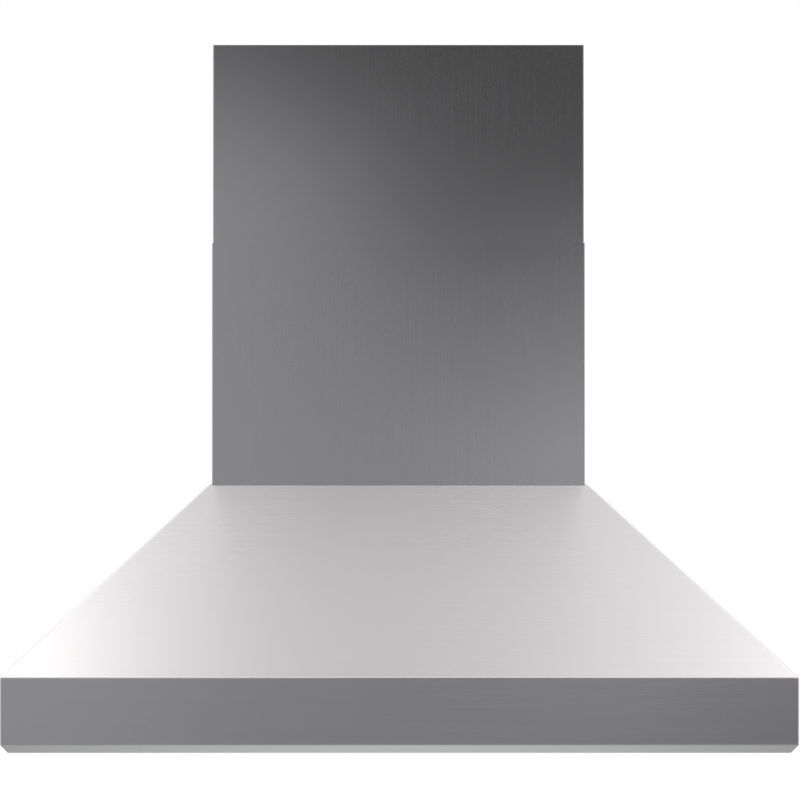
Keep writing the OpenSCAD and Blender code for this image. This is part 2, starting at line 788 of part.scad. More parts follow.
module grease_tray() {
  x = tray_w / 2;
  wall = 0.8;
  lip_low = tray_top - 5 + rest;
  color(steel) union() {
    difference() {
      block([-x, -tray_front, tray_low], [x, -tray_back, tray_top]);
      block([-(x - wall), -(tray_front - wall), tray_low + wall],
        [x - wall, -(tray_back + wall), tray_top + eps]);
    }
    both_blocks([x - wall, -(rear_wall - 1), lip_low], [x + tray_lip, -tray_back, lip_low + wall]);
    block([-tray_grip / 2, -(tray_front + 10), tray_low], [tray_grip / 2, -tray_front, tray_low + wall]);
    block([-tray_grip / 2, -(tray_front + 10), tray_low],
      [tray_grip / 2, -(tray_front + 10 - wall), tray_low + 5]);
  }
}

// Controls, on the underside of the front rail

control_low = rail_z - control_t;
control_screw_x = button_n * button_pitch / 2 + 9;
control_half = control_screw_x + 7;
cap_drop = 4;        // how far a button stands out of the plate
flange_r = button_r + 1.5;
stem_r = 4;
button_low = control_low - cap_drop;
flange_low = rail_z + rest;
stem_top = flange_low + 10;
switch_low = rail_z + rail_t;
switch_d = 44;
switch_h = 30;

module control_plate() {
  color(bright) difference() {
    translate([0, lamp_y, control_low]) linear_extrude(control_t) union() {
      square([2 * control_half - 12, control_d], center = true);
      square([2 * control_half, control_d - 12], center = true);
      for (x = [-1, 1], y = [-1, 1])
        translate([x * (control_half - 6), y * (control_d / 2 - 6)]) circle(r = 6);
    }
    for (i = [0 : button_n - 1]) translate([button_x(i), lamp_y, control_low - eps])
      cylinder(r = button_r + seam, h = control_t + 2 * eps);
    for (s = [-1, 1]) translate([s * control_screw_x, lamp_y, control_low]) screw_hole(6);
  }
}

module switch_block() {
  x = button_n * button_pitch / 2 + 1;
  color("black") difference() {
    block([-x, lamp_y - switch_d / 2, switch_low], [x, lamp_y + switch_d / 2, switch_low + switch_h]);
    for (i = [0 : button_n - 1]) translate([button_x(i), lamp_y, 0]) {
      translate([0, 0, switch_low - eps]) cylinder(r = flange_r + 0.5, h = button_travel + 1.5 + eps);
      translate([0, 0, switch_low])
        cylinder(r = stem_r + seam, h = stem_top + button_travel + 2 - switch_low);
    }
  }
}

module button(i) {
  color(bright) translate([button_x(i), lamp_y, 0]) union() {
    translate([0, 0, button_low]) cylinder(r1 = button_r - 0.8, r2 = button_r, h = 0.8);
    translate([0, 0, button_low + 0.8]) cylinder(r = button_r, h = flange_low - button_low - 0.8);
    translate([0, 0, flange_low]) cylinder(r = flange_r, h = 1);
    translate([0, 0, flange_low + 1]) cylinder(r = stem_r, h = stem_top - flange_low - 1);
  }
}

// Lamps

can_t = 1;
lens_t = 2;
bezel_t = 1.6;
board_z = rail_z + 13;
board_r = lamp_r - can_t - seam;

module at_lamp(side) {
  translate([side * lamp_x, lamp_y, 0]) children();
}

module lamp_can(side) {
  color("gray") at_lamp(side) difference() {
    union() {
      translate([0, 0, rail_z]) cylinder(r = lamp_r, h = can_h);
      translate([0, 0, rail_z + rail_t]) cylinder(r = lamp_r + 5, h = 1);
    }
    translate([0, 0, rail_z - eps]) cylinder(r = lamp_r - can_t, h = board_z + 1.6 - rail_z + eps);
    translate([0, 0, rail_z]) cylinder(r = lamp_r - can_t - 3, h = can_h - can_t);
  }
}

module lamp_bezel(side) {
  color(bright) at_lamp(side) difference() {
    union() {
      translate([0, 0, rail_z - bezel_t / 2]) cylinder(r = lamp_r - 6 + bezel_w, h = bezel_t / 2);
      translate([0, 0, rail_z - bezel_t])
        cylinder(r1 = lamp_r - 6 + bezel_w - 0.8, r2 = lamp_r - 6 + bezel_w, h = bezel_t / 2);
    }
    translate([0, 0, rail_z - bezel_t - eps]) cylinder(r = lamp_r - 6, h = bezel_t + 2 * eps);
  }
}

module lamp_lens(side) {
  color("white") at_lamp(side) translate([0, 0, rail_z]) cylinder(r = board_r, h = lens_t);
}

module led_boards() {
  chip = 3;
  color("khaki") for (s = [-1, 1]) at_lamp(s) union() {
    translate([0, 0, board_z]) cylinder(r = board_r, h = 1.6);
    for (a = [0 : 45 : 315]) rotate([0, 0, a]) translate([board_r * 0.6 - chip / 2, -chip / 2, board_z - 1])
      cube([chip, chip, 1.5]);
  }
}

// Baffle filters

filter_top = filter_low + filter_t;
tongue_half = handle_w / 2 + 14;
handle_y = -(front_wall - ledge_w - 24);
lug_t = 2;
pivot_z = filter_low - wire_r - 4;
lug_bore = wire_r + run_gap;

module filter_frame(i) {
  w = filter_w / 2;
  inner_x = w - filter_sheet;
  color(steel) translate([filter_x(i), 0, 0]) difference() {
    union() {
      difference() {
        block([-w, -filter_front, filter_low], [w, -filter_back, filter_top]);
        block([-inner_x, -(filter_front - filter_sheet), filter_low + filter_sheet],
          [inner_x, -(filter_back + filter_sheet), filter_top - filter_sheet]);
        block([-(w - filter_rim), -(filter_front - filter_rim), filter_low - eps],
          [w - filter_rim, -(filter_back + filter_rim), filter_top + eps]);
      }
      block([-tongue_half, -(filter_front - filter_rim), filter_low],
        [tongue_half, handle_y + 8, filter_low + filter_sheet]);
      for (s = [-1, 1]) translate([s * (handle_w / 2 + 6), handle_y, 0]) {
        block([-lug_t / 2, -5, pivot_z], [lug_t / 2, 5, filter_low]);
        translate([0, 0, pivot_z]) bar_x(5, -lug_t / 2, lug_t / 2);
      }
    }
    translate([0, handle_y, pivot_z]) bar_x(lug_bore, -w, w);
  }
}

// Two rows of channels that face each other, half a pitch apart, held in the frame's own channel
module filter_baffles(i) {
  n = floor((filter_w - 2 * filter_sheet) / baffle_pitch);
  t = 0.8;
  row_h = filter_t / 2;
  low = filter_low + filter_sheet;
  high = filter_top - filter_sheet;
  upper_w = baffle_w - 4;
  y0 = -(filter_front - filter_sheet - seam);
  y1 = -(filter_back + filter_sheet + seam);
  color(bright) translate([filter_x(i), 0, 0]) {
    for (k = [0 : n - 1]) translate([(k - (n - 1) / 2) * baffle_pitch, 0, 0]) difference() {
      block([-baffle_w / 2, y0, low], [baffle_w / 2, y1, low + row_h]);
      block([-(baffle_w / 2 - t), y0 - eps, low + t], [baffle_w / 2 - t, y1 + eps, low + row_h + eps]);
    }
    for (k = [0 : n - 2]) translate([(k - (n - 2) / 2) * baffle_pitch, 0, 0]) difference() {
      block([-upper_w / 2, y0, high - row_h], [upper_w / 2, y1, high]);
      block([-(upper_w / 2 - t), y0 - eps, high - row_h - eps], [upper_w / 2 - t, y1 + eps, high - t]);
    }
  }
}

// Wire bail that hangs from the two lugs
module filter_handle(i) {
  arm = handle_w / 2;
  bend = 8;
  end = arm + 6 + lug_t / 2 + 2;
  grip_z = pivot_z - handle_drop + wire_r;
  color(bright) translate([filter_x(i), handle_y, 0]) union() {
    for (s = [0, 1]) mirror([s, 0, 0]) {
      translate([0, 0, pivot_z]) bar_x(wire_r, arm, end);
      translate([arm, 0, grip_z + bend]) cylinder(r = wire_r, h = pivot_z - grip_z - bend);
      translate([arm, 0, pivot_z]) sphere(r = wire_r);
      translate([arm - bend, 0, grip_z + bend]) rotate([90, 0, 0])
        rotate_extrude(angle = -90) translate([bend, 0]) circle(r = wire_r);
    }
    translate([0, 0, grip_z]) bar_x(wire_r, -(arm - bend), arm - bend);
  }
}

// Screws

module chimney_screws() {
  color(bright) for (p = foot_screws) translate([p.x, p.y, canopy_h + cover_t]) screw(8);
}

module collar_screws() {
  color(zinc) for (p = collar_screw_at) translate([p.x, p.y - duct_y, plate_top + collar_t]) screw(6);
}

module blower_screws() {
  color(zinc) {
    for (p = outlet_screw_at) translate([p.x, p.y - duct_y, plate_low - scroll_t])
      mirror([0, 0, 1]) screw(scroll_t + plate_t);
    at_blower() for (a = arm_angles) rotate([a, 0, 0])
      translate([bracket_x + spider_t, foot_r, 0]) rotate([0, 90, 0]) screw(grommet_h + spider_t + 4);
  }
}

module control_screws() {
  color(bright) for (s = [-1, 1]) translate([s * control_screw_x, lamp_y, control_low])
    mirror([0, 0, 1]) screw(6);
}

module bracket_screws() {
  color(bright) for (s = [-1, 1]) translate([s * upper_half, arm_screw_y, arm_z])
    rotate([0, s * 90, 0]) screw(8);
}

// Leads, clipped along the inside of the canopy

// Direction of a path at its point i
function along(path, i) =
  let (v = path[min(i + 1, len(path) - 1)] - path[max(i - 1, 0)]) v / norm(v);

// Sideways directions at each point, carried along the path without a twist
function carry(path, i, side) = i == len(path) ? [] :
  let (d = along(path, i), v = side - (side * d) * d, unit = v / norm(v))
  concat([unit], carry(path, i + 1, unit));

// Closed tube of eight sides along a path
module tube(path, r) {
  sides = 8;
  n = len(path);
  across = carry(path, 0, abs(along(path, 0).x) > 0.9 ? [0, 1, 0] : [1, 0, 0]);
  points = [for (i = [0 : n - 1], k = [0 : sides - 1])
    path[i] + r * (cos(360 * k / sides) * across[i]
      + sin(360 * k / sides) * cross(along(path, i), across[i]))];
  walls = [for (i = [0 : n - 2], k = [0 : sides - 1])
    [sides * i + k, sides * (i + 1) + k, sides * (i + 1) + (k + 1) % sides, sides * i + (k + 1) % sides]];
  polyhedron(points, concat([[for (k = [0 : sides - 1]) k]], walls,
    [[for (k = [1 : sides]) n * sides - k]]));
}

// Points of a smooth curve through hand-picked points
function smooth(p, steps = 4) = concat([for (i = [0 : len(p) - 2], s = [0 : steps - 1])
  let (t = s / steps, a = p[max(i - 1, 0)], b = p[i], c = p[i + 1], d = p[min(i + 2, len(p) - 1)])
  0.5 * (2 * b + (c - a) * t + (2 * a - 5 * b + 4 * c - d) * t * t + (3 * b - a - 3 * c + d) * t * t * t)],
  [p[len(p) - 1]]);

thick_r = 3;
thin_r = 2.1;
slim_r = 1.4;
lead_off = 10;       // from the slope's inside to a lead that follows it, measured level
side_z = plate_top + 17;
under_z = plate_low - 12;
motor_face = [motor_end, blower_y, blower_z + motor_r * 0.56];

// Along the slope's inside, off the sheet, at a height
function by_slope(x, z, off) = [x, -(slope_front(z) - off), z];

// From a hole in the blower plate forward under it, down the slope and straight down on a piece
function run_down(hole, to, off) =
  let (low = to.z + 55, steep = [0.06, 0.25, 0.5, 0.75, 0.95])
  concat([[hole.x, hole.y, plate_low + 4], [hole.x, hole.y - 1, plate_low - 5],
      [hole.x, hole.y - 12, under_z], [hole.x, hole.y - 60, under_z],
      [hole.x, -(slope_front(under_z) - off - 35), under_z]],
    [for (t = steep) by_slope(hole.x + t * (to.x - hole.x), under_z + t * (low - under_z), off)],
    [[to.x, to.y, to.z + 30], [to.x, to.y, to.z + 12], to]);

// From the driver's side to the hole beside it
function from_driver(hole) = let (d = -driver_out - hole.x)
  [[-driver_out, hole.y, side_z], [hole.x + d * 0.55, hole.y, side_z - 1],
    [hole.x + d * 0.17, hole.y, side_z - 6], [hole.x, hole.y, plate_top + 3]];

motor_route = [[lead_at.x, lead_at.y, plate_top + 5], [lead_at.x, lead_at.y, plate_top - 7],
  [lead_at.x, lead_at.y - 1, plate_top - 27], [lead_at.x - 2, lead_at.y - 3, motor_face.z + 25],
  [lead_at.x - 12, motor_face.y, motor_face.z + 7], [motor_face.x + 18, motor_face.y, motor_face.z],
  [motor_face.x + 8, motor_face.y, motor_face.z], motor_face];
box_top = plate_top + box_size.z;
cap_top = plate_top + cap_h + tab_h;
box_exit = -(box_back + box_size.y - 12);
cap_route = [[0, box_exit, box_top], [0, box_exit - 1, box_top + 9], [0, box_exit - 10, box_top + 20],
  [0, box_exit - 27, cap_top + 8], [0, (box_exit + cap_at.y) / 2 - 3, cap_top + 13],
  [0, cap_at.y + 20, cap_top + 14], [0, cap_at.y + 6, cap_top + 10], [0, cap_at.y, cap_top]];
switch_route = run_down(switch_lead_at, [button_pitch * 2, lamp_y, switch_low + switch_h], lead_off + 16);
behind = -29;
from_x = box_x - 13;
to_x = -(driver_in + 17);
driver_route = [[from_x, -box_back, side_z], [from_x, -(box_back - 8), side_z],
  [from_x - 3, -(box_back - 17), side_z - 4], [from_x - 14, behind - 5, plate_top + 7],
  [from_x - 32, behind - 1, plate_top + 4], [60, behind, plate_top + 3], [0, behind, plate_top + 3],
  [-60, behind, plate_top + 3], [to_x + 30, behind - 1, plate_top + 4],
  [to_x + 14, behind - 5, plate_top + 7], [to_x + 3, -(box_back - 17), side_z - 4],
  [to_x, -(box_back - 8), side_z], [to_x, -box_back, side_z]];
lamp_routes = [for (s = [0, 1]) concat(from_driver(lamp_lead_at[s]),
  run_down(lamp_lead_at[s], [(2 * s - 1) * lamp_x, lamp_y, rail_z + can_h], lead_off))];

module motor_leads() {
  color("black") {
    tube(smooth(motor_route), thick_r);
    for (s = [-1, 1]) translate([cap_at.x + s * tab_pitch / 2, 0, 0]) tube(smooth(cap_route), slim_r);
  }
}

module lamp_leads() {
  color("ivory") for (route = lamp_routes) tube(smooth(route), thin_r);
}

module control_leads() {
  color("black") {
    tube(smooth(concat([[switch_lead_at.x, switch_lead_at.y, plate_top + 5]], switch_route)), thick_r);
    tube(smooth(driver_route), thin_r);
  }
}

canopy_shell();
back_panel();
top_plate();
front_rail();
rear_rail();
side_rail_left();
side_rail_right();
tray_runners();
grease_tray();
control_plate();
switch_block();
lamp_can(-1);  // lamp_can_left
lamp_can(1);  // lamp_can_right
lamp_bezel(-1);  // lamp_bezel_left
lamp_bezel(1);  // lamp_bezel_right
lamp_lens(-1);  // lamp_lens_left
lamp_lens(1);  // lamp_lens_right
led_boards();
led_driver();
junction_box();
junction_box_cover();
capacitor();
capacitor_clip();
blower_scroll();
blower_side_left();
blower_side_right();
motor();
motor_bracket();
motor_grommets();
motor_shaft();
impeller();
duct_collar();
damper_rod();
damper_flap(-1);  // damper_flap_front
damper_flap(1);  // damper_flap_rear
lower_chimney();
upper_chimney();
upper_bracket();
filter_frame(0);  // filter_frame_left
filter_frame(1);  // filter_frame_centre
filter_frame(2);  // filter_frame_right
filter_baffles(0);  // filter_baffles_left
filter_baffles(1);  // filter_baffles_centre
filter_baffles(2);  // filter_baffles_right
filter_handle(0);  // filter_handle_left
filter_handle(1);  // filter_handle_centre
filter_handle(2);  // filter_handle_right
button(0);  // button_1
button(1);  // button_2
button(2);  // button_3
button(3);  // button_4
button(4);  // button_5
chimney_screws();
collar_screws();
blower_screws();
control_screws();
bracket_screws();
motor_leads();
lamp_leads();
control_leads();
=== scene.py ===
"""Wall mount range hood in brushed steel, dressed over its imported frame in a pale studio."""
import json
import logging
import math
from collections.abc import Callable, Iterable, Sequence
from dataclasses import dataclass
from enum import Enum
from functools import cached_property, reduce

import bmesh
import bpy
from bmesh.types import BMEdge, BMesh, BMFace, BMVert
from bpy.types import ID, Material, Node, NodeSocket, Object
from mathutils import Matrix, Vector


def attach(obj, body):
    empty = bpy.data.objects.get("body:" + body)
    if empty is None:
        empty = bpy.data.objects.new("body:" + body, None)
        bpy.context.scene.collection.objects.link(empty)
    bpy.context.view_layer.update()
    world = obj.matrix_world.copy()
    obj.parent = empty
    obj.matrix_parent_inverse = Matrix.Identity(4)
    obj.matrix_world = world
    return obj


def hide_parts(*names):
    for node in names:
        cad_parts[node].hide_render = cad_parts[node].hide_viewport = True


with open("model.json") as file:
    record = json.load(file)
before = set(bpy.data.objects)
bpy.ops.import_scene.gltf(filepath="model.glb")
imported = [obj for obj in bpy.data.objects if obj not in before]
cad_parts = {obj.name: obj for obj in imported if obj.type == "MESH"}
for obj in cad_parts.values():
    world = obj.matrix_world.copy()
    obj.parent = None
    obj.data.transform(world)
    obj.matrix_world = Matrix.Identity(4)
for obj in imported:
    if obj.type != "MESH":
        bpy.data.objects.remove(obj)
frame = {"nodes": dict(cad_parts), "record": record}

Colour = tuple[float, float, float]
Pair = tuple[float, float]
Point = tuple[float, float, float]
Spot = tuple[float, float, float, float]
Pick = Callable[[BMFace], int]

LOG = logging.getLogger("range_hood")
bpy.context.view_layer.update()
MM = 0.001
SIDES = ("left", "centre", "right")
BOTH = (-1, 1)
UP, DOWN = (0.0, 0.0, 1.0), (0.0, 0.0, -1.0)
TO_RIGHT, TO_WALL, TO_FRONT = (1.0, 0.0, 0.0), (0.0, 1.0, 0.0), (0.0, -1.0, 0.0)
WHITE = (1.0, 1.0, 1.0)
SLOT_OF: dict[str, str] = {
    row["node"]: row["material_slot"] for row in frame["record"]["subparts"]}
BODY_OF: dict[str, str] = {
    node: body for body, nodes in frame["record"]["behaviour"]["bodies"].items() for node in nodes}


# Finishes


# Range in which most of a noise lies, and most of the sum of two.
NOISE_CORE, PAIR_CORE = (0.3, 0.7), (0.6, 1.4)


class Grain(Enum):
    """Direction in which a sheet was brushed."""

    ACROSS = (1.0, 0.0, 0.0)
    DEEP = (0.0, 1.0, 0.0)
    UPRIGHT = (0.0, 0.0, 1.0)


class Graph:
    """Node tree of a finish or of the world, put together from short calls."""

    def __init__(self, name: str, world: bool = False) -> None:
        """Starts an empty tree.

        Args:
            name: Name of the material or the world.
            world: Whether it is the world's tree.
        """
        self.owner = (bpy.data.worlds if world else bpy.data.materials).new(name)
        self.owner.use_nodes = True
        self.tree = self.owner.node_tree
        self.tree.nodes.clear()

    @cached_property
    def place(self) -> NodeSocket:
        """Place in the piece's own coordinates."""
        return self.add("ShaderNodeTexCoord").outputs["Object"]

    def add(self, kind: str, inputs: dict | None = None, **settings: object) -> Node:
        """Adds a node.

        Args:
            kind: Type name of the node.
            inputs: Socket name or number to a value or an output to link.
            settings: Properties of the node.

        Returns:
            The new node.
        """
        node = self.tree.nodes.new(kind)
        for key, value in settings.items():
            setattr(node, key, value)
        for key, value in (inputs or {}).items():
            if isinstance(value, NodeSocket):
                self.tree.links.new(value, node.inputs[key])
            else:
                node.inputs[key].default_value = value
        return node

    def noise(self, scale: float, stretch: Point = (1.0, 1.0, 1.0),
              detail: float = 2.0) -> NodeSocket:
        """Noise from 0 to 1 in the piece's own coordinates, at a scale in cells to a metre."""
        spread = self.add("ShaderNodeMapping", {"Vector": self.place, "Scale": stretch})
        return self.add("ShaderNodeTexNoise",
                        {"Vector": spread.outputs[0], "Scale": scale, "Detail": detail}).outputs[0]

    def math(self, operation: str, a: NodeSocket | float,
             b: NodeSocket | float = 0.0) -> NodeSocket:
        """One sum of two values, by the name of Blender's operation."""
        return self.add("ShaderNodeMath", {0: a, 1: b}, operation=operation).outputs[0]

    def blend(self, *parts: tuple[NodeSocket, float]) -> NodeSocket:
        """Sum of some values, each times its weight."""
        scaled = [self.math("MULTIPLY", value, weight) for value, weight in parts]
        return reduce(lambda a, b: self.math("ADD", a, b), scaled)

    def span(self, value: NodeSocket, start: Pair, end: Pair) -> NodeSocket:
        """The value moved from one range to another, and kept inside it."""
        return self.add("ShaderNodeMapRange", {
            "Value": value, "From Min": start[0], "From Max": start[1],
            "To Min": end[0], "To Max": end[1]}).outputs[0]

    def mix(self, factor: NodeSocket, low: Colour, high: Colour) -> NodeSocket:
        """Colour between two others, by a factor from 0 to 1."""
        return self.add("ShaderNodeMix", {0: factor, 6: (*low, 1.0), 7: (*high, 1.0)},
                        data_type="RGBA").outputs[2]

    def bump(self, height: NodeSocket, depth: float, strength: float) -> NodeSocket:
        """Normal of a surface that rises by depth, in metres, where the height is 1."""
        return self.add("ShaderNodeBump", {
            "Height": height, "Distance": depth, "Strength": strength}).outputs[0]

    def choose(self, factor: NodeSocket, low: Node, high: Node) -> Node:
        """Shader between two others, by a factor from 0 to 1."""
        return self.add("ShaderNodeMixShader", {0: factor, 1: low.outputs[0], 2: high.outputs[0]})

    def finish(self, shader: Node, output: str = "ShaderNodeOutputMaterial") -> ID:
        """Ends the tree in a shader, and returns the material or the world."""
        self.add(output, {"Surface": shader.outputs[0]})
        return self.owner

    def surface(self, inputs: dict) -> Material:
        """Ends the tree in a Principled shader with these sockets, and returns the material."""
        return self.finish(self.add("ShaderNodeBsdfPrincipled", inputs))


def shade(colour: Colour, factor: float) -> Colour:
    """The colour made lighter or darker by a factor."""
    return tuple(min(1.0, c * factor) for c in colour)


def about(value: float, reach: float) -> Pair:
    """Range that reaches equally far below and above a value."""
    return value - reach, value + reach


@dataclass(frozen=True)
class Finish:
    """Look of a surface.

    Attributes:
        name: Name of the finish.
        colour: Mean colour.
    """

    name: str
    colour: Colour


@dataclass(frozen=True)
class BrushedSteel(Finish):
    """Stainless sheet with a straight brushed grain.

    Attributes:
        roughness: Mean roughness.
        spread: Anisotropy across the grain.
        lines: Fine brush lines to a metre.
        streaks: Broader streaks to a metre.
        contrast: Share of the colour by which the grain is lighter or darker.
    """

    roughness: float = 0.26
    spread: float = 0.55
    lines: float = 1500.0
    streaks: float = 260.0
    contrast: float = 0.028

    def material(self, grain: Grain) -> Material:
        """Builds the steel for one direction of grain.

        Args:
            grain: Direction of the brush lines.

        Returns:
            The material.
        """
        graph = Graph(f"{self.name}_{grain.name.lower()}")
        along = Vector(grain.value)
        fine = graph.noise(1.0, tuple(self.lines * (1 - a) + 6.0 * a for a in along), 3.0)
        streak = graph.noise(1.0, tuple(self.streaks * (1 - a) + 1.5 * a for a in along))
        broad = graph.noise(4.0)
        tone = graph.blend((fine, 0.5), (streak, 0.2), (broad, 0.3))
        normal = graph.add("ShaderNodeNewGeometry").outputs["Normal"]
        tangent = graph.add("ShaderNodeVectorMath", {0: normal, 1: along},
                            operation="CROSS_PRODUCT").outputs[0]
        low, high = (shade(self.colour, factor) for factor in about(1.0, self.contrast))
        return graph.surface({
            "Base Color": graph.mix(graph.span(tone, NOISE_CORE, (0.0, 1.0)), low, high),
            "Metallic": 1.0,
            "Roughness": graph.span(graph.math("ADD", fine, broad), PAIR_CORE,
                                    about(self.roughness, 0.025)),
            "Anisotropic": self.spread,
            "Tangent": tangent,
            "Normal": graph.bump(graph.blend((fine, 1.0), (streak, 0.3)), 0.00001, 0.055)})


@dataclass(frozen=True)
class SpangledZinc(Finish):
    """Hot dipped zinc on sheet, with faint crystals."""

    def material(self) -> Material:
        """Builds the zinc.

        Returns:
            The material.
        """
        graph = Graph(self.name)
        crystal = graph.add("ShaderNodeTexVoronoi", {"Vector": graph.place, "Scale": 95.0})
        tone = graph.add("ShaderNodeSeparateColor", {0: crystal.outputs["Color"]}).outputs[0]
        haze = graph.noise(14.0, detail=4.0)
        grit = graph.noise(900.0)
        return graph.surface({
            "Base Color": graph.mix(graph.blend((tone, 0.55), (haze, 0.45)),
                                    shade(self.colour, 0.84), shade(self.colour, 1.14)),
            "Metallic": 0.9,
            "Roughness": graph.span(graph.math("ADD", tone, haze), (0.3, 1.6), (0.3, 0.5)),
            "Normal": graph.bump(graph.blend((tone, 1.0), (grit, 0.6)), 0.00003, 0.3)})


@dataclass(frozen=True)
class BareMetal(Finish):
    """Rolled, plated or polished metal with fine handling marks.

    Attributes:
        roughness: Lowest and highest roughness.
        marks: Marks to a metre.
        stretch: Factor on the marks along each axis.
    """

    roughness: Pair
    marks: float = 260.0
    stretch: Point = (1.0, 1.0, 1.0)

    def material(self) -> Material:
        """Builds the metal.

        Returns:
            The material.
        """
        graph = Graph(self.name)
        marks = graph.noise(self.marks, self.stretch, 4.0)
        tone = graph.blend((marks, 0.5), (graph.noise(22.0, detail=3.0), 0.5))
        return graph.surface({
            "Base Color": graph.mix(graph.span(tone, NOISE_CORE, (0.0, 1.0)),
                                    shade(self.colour, 0.92), shade(self.colour, 1.07)),
            "Metallic": 1.0,
            "Roughness": graph.span(tone, NOISE_CORE, self.roughness),
            "Normal": graph.bump(marks, 0.00001, 0.25)})


@dataclass(frozen=True)
class SatinCoat(Finish):
    """Moulded plastic, rubber, sleeve or paint with a fine skin.

    Attributes:
        roughness: Mean roughness.
        skin: Bumps of the skin to a metre.
        depth: Depth of the skin in metres.
        gloss: Specular level.
    """

    roughness: float
    skin: float = 1400.0
    depth: float = 0.00003
    gloss: float = 0.5

    def material(self) -> Material:
        """Builds the coat.

        Returns:
            The material.
        """
        graph = Graph(self.name)
        skin = graph.noise(self.skin, detail=3.0)
        haze = graph.noise(35.0, detail=4.0)
        return graph.surface({
            "Base Color": graph.mix(haze, shade(self.colour, 0.88), shade(self.colour, 1.12)),
            "Roughness": graph.span(graph.math("ADD", skin, haze), PAIR_CORE,
                                    about(self.roughness, 0.06)),
            "Specular IOR Level": self.gloss,
            "Normal": graph.bump(skin, self.depth, 0.45)})


@dataclass(frozen=True)
class FrostedGlass(Finish):
    """Pressed glass with a frosted inside."""

    def material(self) -> Material:
        """Builds the glass.

        Returns:
            The material.
        """
        graph = Graph(self.name)
        frost = graph.noise(1600.0, detail=3.0)
        haze = graph.noise(60.0)
        return graph.surface({
            "Base Color": graph.mix(haze, shade(self.colour, 0.95), self.colour),
            "Roughness": graph.span(graph.math("ADD", frost, haze), PAIR_CORE, (0.28, 0.42)),
            "Transmission Weight": 0.35,
            "IOR": 1.5,
            "Normal": graph.bump(frost, 0.00003, 0.4)})


FINISHES: dict[str, Finish] = {finish.name: finish for finish in (
    BrushedSteel("brushed_steel", (0.615, 0.618, 0.62)),
    BrushedSteel("filter_steel", (0.64, 0.64, 0.63), 0.31, 0.4, 900.0),
    SpangledZinc("galvanised_sheet", (0.56, 0.58, 0.59)),
    BareMetal("polished_steel", (0.72, 0.72, 0.71), (0.12, 0.22)),
    BareMetal("wheel_steel", (0.52, 0.54, 0.56), (0.26, 0.4), 340.0),
    SatinCoat("motor_paint", (0.09, 0.09, 0.10), 0.42, 700.0, 0.00006),
    SatinCoat("grommet_rubber", (0.03, 0.03, 0.03), 0.68, 1800.0, gloss=0.35),
    BareMetal("damper_aluminium", (0.66, 0.67, 0.68), (0.3, 0.42), 70.0, (14.0, 1.0, 1.0)),
    BareMetal("can_aluminium", (0.60, 0.61, 0.62), (0.26, 0.38), 90.0, (1.0, 1.0, 12.0)),
    SatinCoat("black_plastic", (0.03, 0.03, 0.03), 0.45),
    SatinCoat("white_plastic", (0.80, 0.80, 0.78), 0.4),
    FrostedGlass("frosted_glass", (0.92, 0.92, 0.90)),
    SatinCoat("board_resin", (0.85, 0.84, 0.78), 0.5, 900.0),
    BareMetal("screw_steel", (0.60, 0.60, 0.61), (0.2, 0.32), 600.0),
    SatinCoat("black_lead", (0.03, 0.03, 0.03), 0.5, 1200.0, gloss=0.4),
    SatinCoat("white_lead", (0.75, 0.74, 0.70), 0.5, 1200.0, gloss=0.4))}
# Lighter steel for the canopy's folds: partly polish from wear, partly a painted highlight along
# the bends.
FOLD_WEAR_AND_HIGHLIGHT = BrushedSteel("fold_wear_and_highlight", (0.82, 0.82, 0.82), 0.24, 0.3)
MADE: dict[tuple[str, Grain], Material] = {}


def finish_of(slot: str, grain: Grain = Grain.ACROSS) -> Material:
    """The material of a slot for one grain, built once.

    Args:
        slot: The record's name of the slot.
        grain: Direction of the grain, which only brushed sheets have.

    Returns:
        The material.
    """
    finish = FINISHES[slot]
    brushed = isinstance(finish, BrushedSteel)
    key = (slot, grain if brushed else Grain.ACROSS)
    if key not in MADE:
        MADE[key] = finish.material(grain) if brushed else finish.material()
    return MADE[key]


# Mesh making, in millimetres


MERGE = 0.002
# Angles between two faces that count as one flat, as a bend and as a sharp edge.
FLAT_ANGLE, BEND_ANGLE, SHARP_ANGLE = math.radians(0.4), 0.1, math.radians(32.0)


def folded(bm: BMesh, angle: float) -> list[BMEdge]:
    """The edges whose two faces meet at more than an angle."""
    return [e for e in bm.edges if e.is_manifold and e.calc_face_angle(0.0) > angle]


def rounded(bm: BMesh, edges: list[BMEdge], width: float, segments: int = 2) -> list[BMFace]:
    """Rounds some edges to a width, and returns the faces that this adds."""
    return bmesh.ops.bevel(bm, geom=edges, offset=width, offset_type="OFFSET", segments=segments,
                           profile=0.5, affect="EDGES", material=-1, clamp_overlap=True)["faces"]


def turned(profile: Sequence[Pair], steps: int, closed: bool = False) -> BMesh:
    """Spins a profile about the upright axis.

    Args:
        profile: Radius and height of each point.
        steps: Facets round the axis.
        closed: Whether the profile's last point joins its first.

    Returns:
        The turned shape.
    """
    bm = bmesh.new()
    verts = [bm.verts.new((r, 0.0, h)) for r, h in profile]
    edges = [bm.edges.new(pair) for pair in zip(verts, verts[1:])]
    if closed:
        edges.append(bm.edges.new((verts[-1], verts[0])))
    bmesh.ops.spin(bm, geom=verts + edges, cent=(0, 0, 0), axis=(0, 0, 1), angle=math.tau,
                   steps=steps, use_merge=True)
    bmesh.ops.remove_doubles(bm, verts=bm.verts, dist=1e-4)
    bmesh.ops.recalc_face_normals(bm, faces=bm.faces)
    return bm


def block(low: Point, high: Point, edge: float) -> BMesh:
    """Box between two corners with its edges broken.

    Args:
        low: Lowest corner.
        high: Highest corner.
        edge: Width of the broken edges.

    Returns:
        The box.
    """
    bm = bmesh.new()
    bmesh.ops.create_cube(bm, size=1.0)
    low, high = Vector(low), Vector(high)
    size = Matrix.Diagonal((*(high - low), 1.0))
    bmesh.ops.transform(bm, matrix=Matrix.Translation((low + high) / 2) @ size, verts=bm.verts)
    rounded(bm, bm.edges[:], edge)
    return bm


